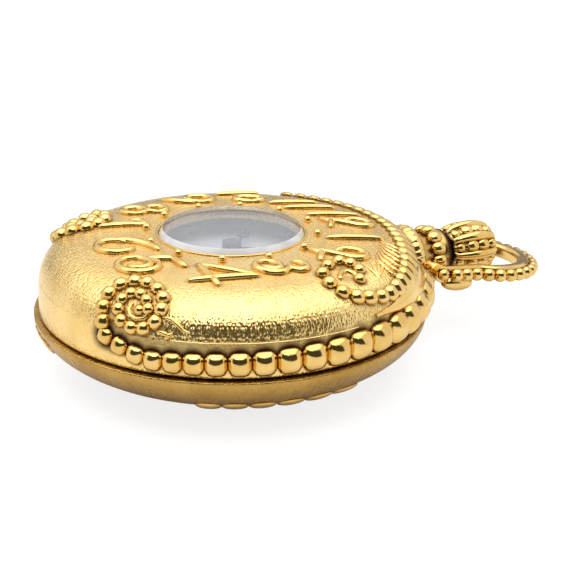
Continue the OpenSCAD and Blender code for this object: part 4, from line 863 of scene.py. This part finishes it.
# A scribed line parts the graver's cuts from the punched grains near the rim
place, out = on_lid(np.linspace(320, 372, 60), np.interp(SCRIBE_UP, MERIDIAN_Z, MERIDIAN_WAY))
piece("scribed_line", [wire(place - out * 0.02, out, 0.05, 8)], "lid_shell")

# The polished crescent lip lies between the side rope and the front rope. It is an ellipse carried along a
# row, whose width swells as a sine of the row's share to the power 1.7
LIP_UP = 3.5
LIP_ROWS = (19, 65)
lip_row = np.linspace(*LIP_ROWS, 80)
lip_share = np.linspace(0, 1, 80)
lip_wide = 0.2 + 1.45 * np.sin(np.pi * lip_share ** 1.7)
place, out = on_lid(lip_row, np.interp(LIP_UP, MERIDIAN_Z, MERIDIAN_WAY))
lens = rays(np.radians(np.arange(0, 360, 15)))[:, :2]
lip_rings = sweep(place, out, lens * np.stack([lip_wide * 0.95, 0.16 + 0.14 * lip_wide], -1)[:, None])
piece("crescent_lip", [skin(lip_rings, poles=CLOSED)], "lid_lip", ["lid_lip"])

# Dirt and painted shade lie round everything that is soldered on the lid, and among the punched grains at the
# front
lid_points = points_of(lid)


def nearness(points, spots, reach):
    """One at a spot and none at its reach, for the nearest spot."""
    best = np.full(len(points), 1e9)
    for spot in spots:
        best = np.minimum(best, ((points - spot[:3]) ** 2).sum(-1) ** 0.5 - spot[3])
    return np.clip(1 - best / reach, 0, 1)


def with_radius(spots, radius):
    """Places with the radius of what lies there."""
    return np.column_stack([spots, np.broadcast_to(radius, (len(spots),))])


bead_near = np.concatenate([with_radius(side_spots, 0.6), with_radius(back_spots, 0.6),
                            with_radius(front_spots, BEAD_D / 2), with_radius(rim_spots, rim_d / 2)])
wire_near = with_radius(np.concatenate(numeral_spots), WIRE_R)
# The hollows between the beads of the two heads, painted dark as shade, with dirt
hollows, _ = on_lid(np.array([17.5, 22, 309, 312]), np.array([7.6, 8.9, 5.8, 4.9]))
# The punched grains lie from the first row over so many degrees
PUNCHED_ROW = 312
PUNCHED_ROWS = 70
lid_rows = (np.degrees(np.arctan2(lid_points[:, 1], lid_points[:, 0])) - PUNCHED_ROW) % 360
# Shade is painted dark among the punched grains over the rim's beads and round each rim bead, with the dirt
over_rim = np.clip((lid_points[:, 2] - rim_spots[:, 2].mean() + 0.7) / 0.4, 0, 1)
punched = np.clip((SEAM_Z + SCRIBE_UP + 0.08 - lid_points[:, 2]) * 4, 0, 1) * (lid_rows < PUNCHED_ROWS) * 0.5
rim_near = np.clip(nearness(lid_points, with_radius(rim_spots, rim_d / 2), 1.1) * 1.3, 0, 1)
dirt_and_shade = np.maximum.reduce([punched * over_rim, rim_near * over_rim,
                          nearness(lid_points, bead_near, 0.4) * 0.75,
                          nearness(lid_points, wire_near, 0.25) * 0.45,
                          nearness(lid_points, with_radius(hollows, 0.3), 0.6) * 0.5])
# One outside the lid's wall and none inside it
outside = ((np.hypot(lid_points[:, 0], lid_points[:, 1]) / LID_R) ** SQUARE_R
           + (np.clip(lid_points[:, 2] - SEAM_Z, 0, None) / LID_H) ** SQUARE_Z) > 0.93
stain(lid, dirt_and_shade ** 1.2 * outside)


# The back of the case
def back_outline():
    """Radius and height round the back, from the flat foot: an elliptic bowl, its rounded corner, the upright
    lip, the shelf and the elliptic hollow."""
    foot = math.asin(SEAM_Z / BACK_DEPTH)
    edge = 0.1
    round_r = 0.16
    a = np.linspace(foot, 0.08, 60)
    bowl = np.stack([BACK_R * np.cos(a), SEAM_Z - BACK_DEPTH * np.sin(a)], -1)
    turned = np.radians(np.linspace(0, 90, 7))
    corner = np.stack([BACK_R - round_r * (1 - np.cos(turned)), SEAM_Z - round_r * (1 - np.sin(turned))], -1)
    rise = [[LIP_R, SEAM_Z],
            [LIP_R, LIP_TOP - edge], [LIP_R - edge, LIP_TOP], [LIP_IN_R + edge, LIP_TOP],
            [LIP_IN_R, LIP_TOP - edge], [LIP_IN_R, SHELF_Z], [SHELF_IN_R, SHELF_Z],
            [SHELF_IN_R, SHELF_Z - SHELF_T]]
    in_depth = BACK_DEPTH - BACK_WALL
    a = np.linspace(math.asin((SEAM_Z - SHELF_Z + SHELF_T) / in_depth),
                    math.asin((SEAM_Z - BACK_WALL) / in_depth), 30)
    hollow = np.stack([(BACK_R - BACK_WALL) * np.cos(a), SEAM_Z - in_depth * np.sin(a)], -1)
    return np.concatenate([bowl, corner, rise, hollow])


# Room round the latched catch, below and above its corners
SLOT_BELOW = np.array([0.4, 0.1, 0.1])
SLOT_ABOVE = np.array([0.6, 0.1, 0.3])
outline = back_outline()
back = mesh_object("back_case", skin(turn(outline[:, 0], outline[:, 1], 512), poles=CLOSED))
back_cuts = mesh_object("back_cuts", join([
    skin(turn([NECK_R, NECK_R], [SHELF_IN_R - 1, BACK_R + 1], 64, "y", (0, 0, STEM_Z)), poles=CLOSED),
    box_part(catch_low - SLOT_BELOW, catch_high + SLOT_ABOVE)]))
dress(cut(back, back_cuts), "back_shell", ["back_shell"])
back_points = points_of(back)
back_r = np.hypot(back_points[:, 0], back_points[:, 1])
# The groove of the seam, at the foot of the lip, is painted dark as the shade in the gap
groove = (back_r < LIP_R + 0.1) & (back_r > LIP_R - 0.2) & (back_points[:, 2] > SEAM_Z - 0.05)
stain(back, groove * (1 - np.clip((back_points[:, 2] - SEAM_Z) / LIP_TOP * 8, 0, 1)))


def back_width(z):
    """Radius of the back at a height: BACK_R (1 - ((SEAM_Z - z) / BACK_DEPTH)^2)^(1/2)."""
    return BACK_R * np.sqrt(1 - ((SEAM_Z - z) / BACK_DEPTH) ** 2)


def back_rope(name, node, row0, step, z, d0, grow, count, proud):
    """Low bumps on the bowl at height z, the first at row0 and d0 across, their step and size growing along
    the row, each sunk but for its proud part."""
    i = np.arange(count)
    row = np.radians(row0 + i * step * (1 + i * 0.03))
    d = d0 + grow * i
    steep = math.atan2((SEAM_Z - z) / BACK_DEPTH ** 2, back_width(z) / BACK_R ** 2)
    out = rays(row) * math.cos(steep) - [0, 0, math.sin(steep)]
    centres = back_width(z) * rays(row) + [0, 0, z]
    half = np.stack([d * 0.46, d * 0.44, np.full(count, proud)], -1)
    part, heights = cushions(centres, rays(row + np.pi / 2), out, half, 0.3, 2.2, 11, 20)
    beads(name, node, [part], heights)


back_rope("back_front_bumps", "back_rope_front", 329, 7.6, 2.9, 2.4, 0.05, 6, 0.3)
back_rope("back_left_bumps", "back_rope_left", 251, 4.6, 4.6, 1.7, 0.02, 5, 0.2)


# The window crystal: a shallow dome, a ground bevel painted pale as a highlight, an upright side and a hollow
# beneath, in its gold ring
CRYSTAL_R = SEAT_R - 0.03
CRYSTAL_T = 0.5
CRYSTAL_BEVEL_W = 0.35
CRYSTAL_BEVEL_H = 0.5
CRYSTAL_DOME = 0.12
crystal_low, crystal_high = corners("lid_crystal")
bevel_top_r = CRYSTAL_R - CRYSTAL_BEVEL_W
bevel_top_z = crystal_high[2] - CRYSTAL_DOME
side_top = bevel_top_z - CRYSTAL_BEVEL_H


def dome(radius):
    """Height of the crystal's dome over the bevel: part of a ball of radius (rim^2 + rise^2) / (2 rise)."""
    ball = (bevel_top_r ** 2 + CRYSTAL_DOME ** 2) / (2 * CRYSTAL_DOME)
    return np.sqrt(ball ** 2 - radius ** 2) - ball + CRYSTAL_DOME


over = np.linspace(bevel_top_r - 0.08, 0.3, 20)
out_r = np.concatenate([[CRYSTAL_R - 0.04, CRYSTAL_R, CRYSTAL_R, CRYSTAL_R - 0.05],
                        np.linspace(CRYSTAL_R - 0.09, bevel_top_r + 0.04, 5), [bevel_top_r], over])
out_z = np.concatenate([[crystal_low[2], crystal_low[2] + 0.04, side_top - 0.05, side_top + 0.005],
                        side_top + np.linspace(0.08, 0.46, 5), [bevel_top_z - 0.01],
                        bevel_top_z + dome(over)])
in_r = np.concatenate([over[::-1], [WINDOW_R - 0.1]])
in_z = np.concatenate([bevel_top_z - CRYSTAL_T + dome(over[::-1]), [crystal_low[2]]])
outer_glass = skin(turn(out_r, out_z, 128), poles=(False, True))
inner_glass = skin(turn(in_r, in_z, 128), poles=(True, False))
foot_glass = skin(turn([in_r[-1], out_r[0]], [in_z[-1], out_z[0]], 128))
crystal = mesh_object("window_crystal", join([outer_glass, inner_glass, foot_glass]), merge=True)
dress(crystal, "lid_crystal", ["lid_crystal"])
# The bevel, outside the dome and turned up, is ground, and painted pale as a highlight
crystal.data.materials.append(ground_glass())
for face in crystal.data.polygons:
    x, y, z = face.center / MM
    face.material_index = int(math.hypot(x, y) > bevel_top_r + 0.02 and face.normal.z > 0.3)

# The ring's section is a low half ellipse on a flat foot
ring_low, ring_high = corners("crystal_bezel")
ring_in_r = SEAT_R + 0.03
ring_w = (ring_high[0] - ring_in_r) * 0.8
foot_h = 0.08
a = np.radians(np.linspace(0, 180, 11))
ring_r = np.concatenate([ring_in_r + ring_w / 2 + ring_w / 2 * np.cos(a), [ring_in_r, ring_in_r + ring_w]])
ring_up = np.concatenate([foot_h + (ring_high[2] - ring_low[2] - foot_h) * 0.35 * np.sin(a), [0, 0]])
ring_part = skin(turn(ring_r, ring_low[2] + ring_up, 160), along=True)
piece("crystal_ring", [ring_part], "crystal_bezel", ["crystal_bezel"])


# The pendant neck, its collar and granules
COLLAR_0 = 18.2
COLLAR_1 = 19.35
COLLAR_R = 3.05
COLLAR_FLUTES = 24
NECK_BORE_R = 1.6
THROAT_R = 2.35


def neck_part():
    """The neck turned about the stem: a plain tube, a collar swollen as a half sine wave and cut by round
    flutes, and a throat drawn in as another half wave."""
    start, end = neck_low[1], neck_high[1]
    half_wave = np.sin(np.linspace(0, np.pi, 11))
    y = np.concatenate([[start, start], np.linspace(start + 0.1, COLLAR_0 - 0.05, 6),
                        np.linspace(COLLAR_0, COLLAR_1, 11), np.linspace(COLLAR_1 + 0.1, end - 0.25, 12),
                        [end - 0.08, end, end]])
    plain = np.concatenate([[NECK_BORE_R, NECK_R - 0.1], np.full(6, NECK_R),
                            COLLAR_R + 0.18 * half_wave ** 0.6,
                            THROAT_R - 0.22 * np.sin(np.linspace(0, np.pi, 12)),
                            [THROAT_R - 0.02, THROAT_R - 0.12, NECK_BORE_R]])
    flute = np.concatenate([np.zeros(8), 0.1 * np.sin(np.linspace(0.25, np.pi - 0.25, 11)) ** 0.5,
                            np.zeros(15)])
    count = 10 * COLLAR_FLUTES
    a = np.linspace(0, 2 * np.pi, count, endpoint=False)
    wave = np.abs(np.sin(a * COLLAR_FLUTES / 2)) ** 0.7 - 0.6
    return skin(turn(plain[:, None] + flute[:, None] * wave, y, count, "y", (0, 0, STEM_Z)), along=True)


BOSS_R = 0.75
BOSS_BORE_R = 0.3
BOSS_X = 3.83


def boss(sign):
    """A round boss on the neck's side for the bow's pin, with a rounded end."""
    x = sign * np.array([1.8, 1.8, BOSS_X - 0.18, BOSS_X - 0.03, BOSS_X, BOSS_X])
    r = [BOSS_BORE_R, BOSS_R, BOSS_R, BOSS_R - 0.07, BOSS_R - 0.15, BOSS_BORE_R]
    return skin(turn(r, x, 48, "x", (0, BOW_Y, BOW_Z)), along=True)


neck = piece("pendant", [neck_part(), boss(-1), boss(1)], "pendant_neck", ["pendant_neck"], "bead_gold", 50)
# Shade is painted dark, with dirt, at the neck's end, in its throat and in the collar's flutes
neck_points = points_of(neck)
neck_y = neck_points[:, 1]
neck_r = np.hypot(neck_points[:, 0], neck_points[:, 2] - STEM_Z)
stain(neck, np.where(neck_y > neck_high[1] - 0.3, 0.9, 0)
      + np.clip((neck_y - COLLAR_1 - 0.05) * 2, 0, 1) * (neck_r < 2.5) * 0.35
      + (np.abs(neck_y - (COLLAR_0 + COLLAR_1) / 2) < 0.6) * np.clip((3.2 - neck_r) * 5, 0, 1) * 0.45)
GRANULES = 12
GRANULE_RING_R = 2.43
GRANULE_BACK = 1.54
granule_out = rays(np.radians(np.arange(GRANULES) * 360 / GRANULES), "y")
granule_spots = np.array([0, neck_high[1] - GRANULE_BACK, STEM_Z]) + granule_out * GRANULE_RING_R
granule_part, granule_heights = cushions(granule_spots, [0, 1, 0], granule_out, [0.76, 0.66, 0.5], 0.5, 2.4)
beads("neck_beads", "neck_granules", [granule_part], granule_heights)


# The crown, an onion with smooth ribs and rows of beads between them
CROWN_R = 2.45
CROWN_OFF = 3
RIB_R = 0.4
RIBS = 8
crown_y0, crown_y1 = crown_low[1], crown_high[1]
crown_mid = (crown_y0 + crown_y1) / 2


def crown_width(y):
    """Radius of the onion: an arc of radius CROWN_R + CROWN_OFF whose centre lies CROWN_OFF past the axis."""
    return np.sqrt((CROWN_R + CROWN_OFF) ** 2 - (y - crown_mid) ** 2) - CROWN_OFF


def crown_part():
    """Rings of the onion, closed at both ends. Each rib is a half round, RIB_R times the root of
    1 - (across / width)^2, and the onion is drawn in beside it by a bell curve."""
    count = 384
    y = np.concatenate([[crown_y0] * 3, np.linspace(crown_y0 + 0.02, crown_y1 - 0.02, 60), [crown_y1] * 3])
    base = crown_width(y)
    base[:3] = [0.4, base[3] * 0.75, base[3] * 0.96]
    base[-3:] = [base[-4] * 0.96, base[-4] * 0.75, 0.4]
    a = np.linspace(0, 2 * np.pi, count, endpoint=False)
    from_rib = (a * RIBS / (2 * np.pi) + 0.5) % 1 - 0.5
    across = from_rib * 2 * np.pi / RIBS * base[:, None]
    ends = np.clip((np.minimum(y - crown_y0, crown_y1 - y)) / 0.5, 0, 1)[:, None] ** 0.5
    width = RIB_R * (0.75 + 0.45 * np.sin(np.pi * np.clip((y - crown_y0) / (crown_y1 - crown_y0), 0, 1)))
    width = width[:, None]
    rib = RIB_R * np.sqrt(np.clip(1 - (across / width) ** 2, 0, 1)) * ends
    valley = -0.1 * np.exp(-((np.abs(across) - width - 0.12) / 0.12) ** 2) * ends
    return skin(turn(base[:, None] + rib + valley, y, count, "y", (0, 0, STEM_Z)), poles=CLOSED)


crown = piece("onion_crown", [crown_part()], "crown", ["crown"], sharp=60)
crown_points = points_of(crown)
crown_out = np.hypot(crown_points[:, 0], crown_points[:, 2] - STEM_Z)
# Shade is painted dark, with dirt, where the crown is lower than 0.05 mm over the onion, and round its foot
above = crown_out - crown_width(np.clip(crown_points[:, 1], crown_y0, crown_y1))
stain(crown, np.clip(0.05 - above, 0, 0.12) * 5 + (crown_points[:, 1] < crown_y0 + 0.15) * 0.5)
ROW_BEADS = 4
span = (crown_y1 - crown_y0) / 2 - 0.75
bead_y = np.tile(crown_mid + np.linspace(-span, span, ROW_BEADS), RIBS)
bead_turn = np.radians(np.repeat(np.arange(RIBS) + 0.5, ROW_BEADS) * 360 / RIBS)
bead_r = RIB_R * np.tile([0.85, 1.1, 1.1, 0.85], RIBS)
crown_bead_out = rays(bead_turn, "y")
crown_bead_spots = (crown_bead_out * crown_width(bead_y)[:, None]
                    + bead_y[:, None] * [0, 1, 0] + [0, 0, STEM_Z])
crown_bead_part, crown_bead_heights = cushions(crown_bead_spots, [0, 1, 0], crown_bead_out,
                                               bead_r[:, None] * [1.5, 1.2, 0.66], 0.3, 2.6, 9, 16)
beads("crown_bead_rows", "crown_beads", [crown_bead_part], crown_bead_heights)


# The bow: a smooth band with ears on the pins, and beads round its outside
BOW_IN_R = 4.35
BOW_BAND_W = 1.2
BOW_BAND_T = 1.4
BOW_REACH = 7.1
EAR_X = 4.3
EAR_T = 0.9
EAR_R = 0.85
EAR_BORE_R = 0.35
# Steps from either end of the band's path between which it widens from the ear's thickness to its own
BAND_WIDENS = (12, 24)
BOW_DROOP = math.radians(6)
BOW_MID_R = BOW_IN_R + BOW_BAND_W / 2
BOW_BEAD_R = 0.65
BOW_BEAD_SINK = 0.38


def hang(points):
    """Lets down what was drawn level about the bow's pins."""
    y, z = points[..., 1], points[..., 2]
    return np.stack([points[..., 0], BOW_Y + y * math.cos(BOW_DROOP) + z * math.sin(BOW_DROOP),
                     BOW_Z - y * math.sin(BOW_DROOP) + z * math.cos(BOW_DROOP)], -1)


open_angle = math.asin(EAR_X / BOW_MID_R)
leg_y = BOW_REACH - math.sqrt(BOW_MID_R ** 2 - EAR_X ** 2)
a = np.linspace(-math.pi / 2 + open_angle, 1.5 * math.pi - open_angle, 160)
ring = BOW_MID_R * rays(a) + [0, BOW_REACH, 0]
leg = np.stack([np.full(14, EAR_X), np.linspace(0, leg_y - 0.2, 14), np.zeros(14)], -1)
bow_path = np.concatenate([leg, ring, (leg * [-1, 1, 1])[::-1]])
from_end = np.minimum(np.arange(len(bow_path)), np.arange(len(bow_path))[::-1])
band_width = np.interp(from_end, BAND_WIDENS, [EAR_T, BOW_BAND_W])
band_outline = rounded_box(1.0, BOW_BAND_T, 0.3) * np.stack([band_width, np.ones(len(bow_path))], -1)[:, None]
band_part = skin(hang(sweep(bow_path, [0, 0, 1], band_outline)), poles=CLOSED)
ear_parts = []
for sign in (-1, 1):
    x = sign * EAR_X + EAR_T / 2 * np.array([-1, -1, -0.8, 0.8, 1, 1])
    r = [EAR_BORE_R, EAR_R - 0.1, EAR_R, EAR_R, EAR_R - 0.1, EAR_BORE_R]
    ear_parts.append(skin(hang(turn(r, x, 48, "x")), along=True))
# Each leg swells under its ear
swell_spots = np.array([[sign * (EAR_X + 0.25), 1.9, -0.95] for sign in (-1, 1)])
swells, _ = cushions(swell_spots, [0, 1, 0], [0, 0, 1], [1.8, 0.8, 0.8], 0.8, 2.2, 15, 28)
ear_parts.append((hang(swells[0]), *swells[1:]))
piece("bow_band", [band_part] + ear_parts, "bow", ["bow"], "bead_gold")
# The pins end in domed heads outside the ears
steps = np.radians([0, 20, 40, 60, 80])
pin_r = np.concatenate([[0.29, 0.29], 0.6 * np.cos(steps)])
pin_x = np.concatenate([[2.05, EAR_X + EAR_T / 2], EAR_X + EAR_T / 2 + 0.08 + 0.55 * np.sin(steps)])
pin_parts = [skin(turn(pin_r, sign * pin_x, 32, "x", (0, BOW_Y, BOW_Z)), poles=CLOSED)
             for sign in (-1, 1)]
piece("bow_pin_heads", pin_parts, "bow_pins", ["bow_pins"])
# The row of beads goes up one leg, round the ring and down the other
BOW_BEADS = 20
bead_angle = open_angle + math.radians(8)
ring_out = rays(np.linspace(-math.pi / 2 + bead_angle, 1.5 * math.pi - bead_angle, BOW_BEADS))
ring_spots = np.array([0, BOW_REACH, 0]) + ring_out * (BOW_IN_R + BOW_BAND_W + BOW_BEAD_SINK)
leg_spots = np.array([[EAR_X + EAR_T / 2 + BOW_BEAD_SINK, y, 0] for y in (1.35, 2.55, 3.75)])
leg_out = np.tile([1.0, 0.0, 0.0], (3, 1))
bow_spots = np.concatenate([leg_spots, ring_spots, (leg_spots * [-1, 1, 1])[::-1]])
bow_bead_out = np.concatenate([leg_out, ring_out, -leg_out])
bow_bead_ahead = np.stack([-bow_bead_out[:, 1], bow_bead_out[:, 0], bow_bead_out[:, 2]], -1)
bow_bead_part, bow_heights = cushions(bow_spots, bow_bead_ahead, bow_bead_out,
                                      [BOW_BEAD_R * 0.95, BOW_BEAD_R, BOW_BEAD_R], 0.5, 2.6)
beads("bow_bead_row", "bow_beads", [(hang(bow_bead_part[0]), *bow_bead_part[1:])], bow_heights, start=0.35)


# Plain numbers and minute dots on the dial, seen through the window and when the lid is open
NUMBER_H = 2.3
NUMBER_RING_R = 8.5
INK_T = 0.015
MINUTE_RING_R = 12.25
dial_top = corners("dial")[1][2]


def dial_number(hour):
    """An upright number drawn as thin ink on the dial."""
    name = f"dial_number_{hour}"
    curve = bpy.data.curves.new(name, "FONT")
    curve.body = str(hour)
    curve.size = NUMBER_H * MM
    curve.align_x = "CENTER"
    curve.align_y = "CENTER"
    curve.extrude = INK_T * MM
    shown = new_object(name, curve)
    graph = bpy.context.evaluated_depsgraph_get()
    mesh = bpy.data.meshes.new_from_object(shown.evaluated_get(graph))
    bpy.data.objects.remove(shown)
    bpy.data.curves.remove(curve)
    spot = rays(math.radians(90 - 30 * hour)) * NUMBER_RING_R + [0, 0, dial_top + 0.02]
    mesh.transform(Matrix.Translation(Vector(spot) * MM))
    dress(new_object(name, mesh), "dial_markers")


for hour in range(1, 13):
    dial_number(hour)
minute_out = rays(np.radians(np.arange(60) * 6))
dot_part, _ = cushions(minute_out * MINUTE_RING_R + [0, 0, dial_top], [0, 0, 1], minute_out, [0.04, 0.1, 0.1],
                       0.1, 2.0, 3, 10)
piece("minute_dots", [dot_part], "dial_markers")


# The table, the white room and its lamps
def seen_white(tree, mirrors):
    """One for a camera ray, and for rays off mirrors and through glass if mirrors; none for other light."""
    path = add(tree, "LightPath").outputs
    seen = path["Is Camera Ray"]
    if mirrors:
        for kind in ("Is Glossy Ray", "Is Transmission Ray"):
            seen = add(tree, "Math", [seen, path[kind]], operation="ADD", use_clamp=True).outputs[0]
    return seen


def way_to(row, up):
    """The way to a point of the sky, at a row angle and a height in degrees."""
    a, e = math.radians(row), math.radians(up)
    return Vector((math.cos(e) * math.cos(a), math.cos(e) * math.sin(a), math.sin(e)))


CAMERA_ROW = -24.2
# The room is white to the camera, in mirrors and through glass, and lights the watch at this strength
ROOM_LIGHT = 0.6
room = bpy.data.worlds.new("white_room")
bpy.context.scene.world = room
room.use_nodes = True
tree = room.node_tree
tree.nodes.clear()
dim, white = (add(tree, "Background", {"Color": linear("#FFFFFF"), "Strength": strength})
              for strength in (ROOM_LIGHT, 1.0))
mixed = add(tree, "MixShader", [seen_white(tree, True), dim, white])
add(tree, "OutputWorld", {"Surface": mixed})

# Matt white card for the table: to the camera it glows, so that it is white but keeps the watch's shadow
table_material, tree, shader = new_material("white_table")
fill(tree, shader, {"Base Color": linear("#F4F4F4"), "Roughness": 0.8})
glow = add(tree, "Emission", {"Color": linear("#FFFFFF"), "Strength": 0.8})
half = add(tree, "BsdfDiffuse", {"Color": linear("#9C9C9C")})
both = add(tree, "AddShader", [glow, half])
show(tree, add(tree, "MixShader", [seen_white(tree, False), shader, both]))
TABLE_R = 1500.0
table = mesh_object("table", skin(turn([TABLE_R, TABLE_R], [0.0, -1.0], 64), poles=CLOSED))
table.data.materials.append(table_material)


def card_material(name, colour, strength):
    """A dull card whose tone is plain to see in every mirror."""
    material, tree, _ = new_material(name)
    show(tree, add(tree, "Emission", {"Color": linear(colour), "Strength": strength}))
    return material


CARD_R = 420


def curved_card(name, row_0, row_1, up_0, up_1, material):
    """A curved card, part of a ball round the watch, seen only in mirrors."""
    row = np.radians(np.linspace(row_0, row_1, 24))
    up = np.radians(np.linspace(up_0, up_1, 12))[:, None]
    points = CARD_R * np.stack([np.cos(up) * np.cos(row), np.cos(up) * np.sin(row), np.sin(up) + 0 * row], -1)
    card = mesh_object(name, skin(points, around=False))
    card.data.materials.append(material)
    card.visible_camera = False
    card.visible_shadow = False
    card.visible_diffuse = False


curved_card("front_card", CAMERA_ROW - 60, CAMERA_ROW + 60, 2, 49,
            card_material("dark_grey_card", "#E6EAD2", 0.08))
curved_card("far_card", CAMERA_ROW + 130, CAMERA_ROW + 230, 1, 17, card_material("grey_card", "#FFFFFF", 0.3))


def softbox(name, row, up, distance, size, radiance):
    """A lamp of a width and height that looks at the watch, its energy pi times its area and radiance."""
    lamp = bpy.data.lights.new(name, "AREA")
    lamp.shape = "RECTANGLE"
    lamp.size = size[0] * MM
    lamp.size_y = size[1] * MM
    lamp.energy = radiance * math.pi * lamp.size * lamp.size_y
    shown = new_object(name, lamp)
    shown.location = way_to(row, up) * distance * MM
    shown.rotation_euler = way_to(row, up).to_track_quat("Z", "Y").to_euler()


# A strip in front for the bright band on the lid, a soft lamp at the left and a large one overhead
softbox("front_box", CAMERA_ROW - 10, 59, 380, (260, 70), 2.8)
softbox("left_box", CAMERA_ROW - 95, 45, 380, (160, 160), 1.0)
softbox("top_box", CAMERA_ROW + 180, 86, 400, (540, 460), 1.55)


# The camera stands where the photograph's did: turned to look at the seam's middle, then by a small yaw and
# pitch that put the middle where the photograph has it
CAMERA_UP = 21.73
CAMERA_DISTANCE = 105.7
FOCAL_PX = 1136.0
FRAME_PX = 576.0
SEAM_CENTRE_PX = (231.7, 298.6)
SENSOR = 36.0
camera_data = bpy.data.cameras.new("photo_camera")
camera_data.sensor_width = SENSOR
camera_data.lens = FOCAL_PX / FRAME_PX * SENSOR
camera_data.clip_start = 0.005
camera_data.clip_end = 10
camera = new_object("photo_camera", camera_data)
back_way = way_to(CAMERA_ROW, CAMERA_UP)
look = back_way.to_track_quat("Z", "Y").to_matrix().to_4x4()
yaw = Matrix.Rotation(-math.atan((FRAME_PX / 2 - SEAM_CENTRE_PX[0]) / FOCAL_PX), 4, "Y")
pitch = Matrix.Rotation(math.atan((SEAM_CENTRE_PX[1] - FRAME_PX / 2) / FOCAL_PX), 4, "X")
centre = Vector((0, 0, SEAM_Z))
camera.matrix_world = Matrix.Translation((centre + back_way * CAMERA_DISTANCE) * MM) @ look @ yaw @ pitch
bpy.context.scene.camera = camera
bpy.context.scene.view_settings.view_transform = "Standard"
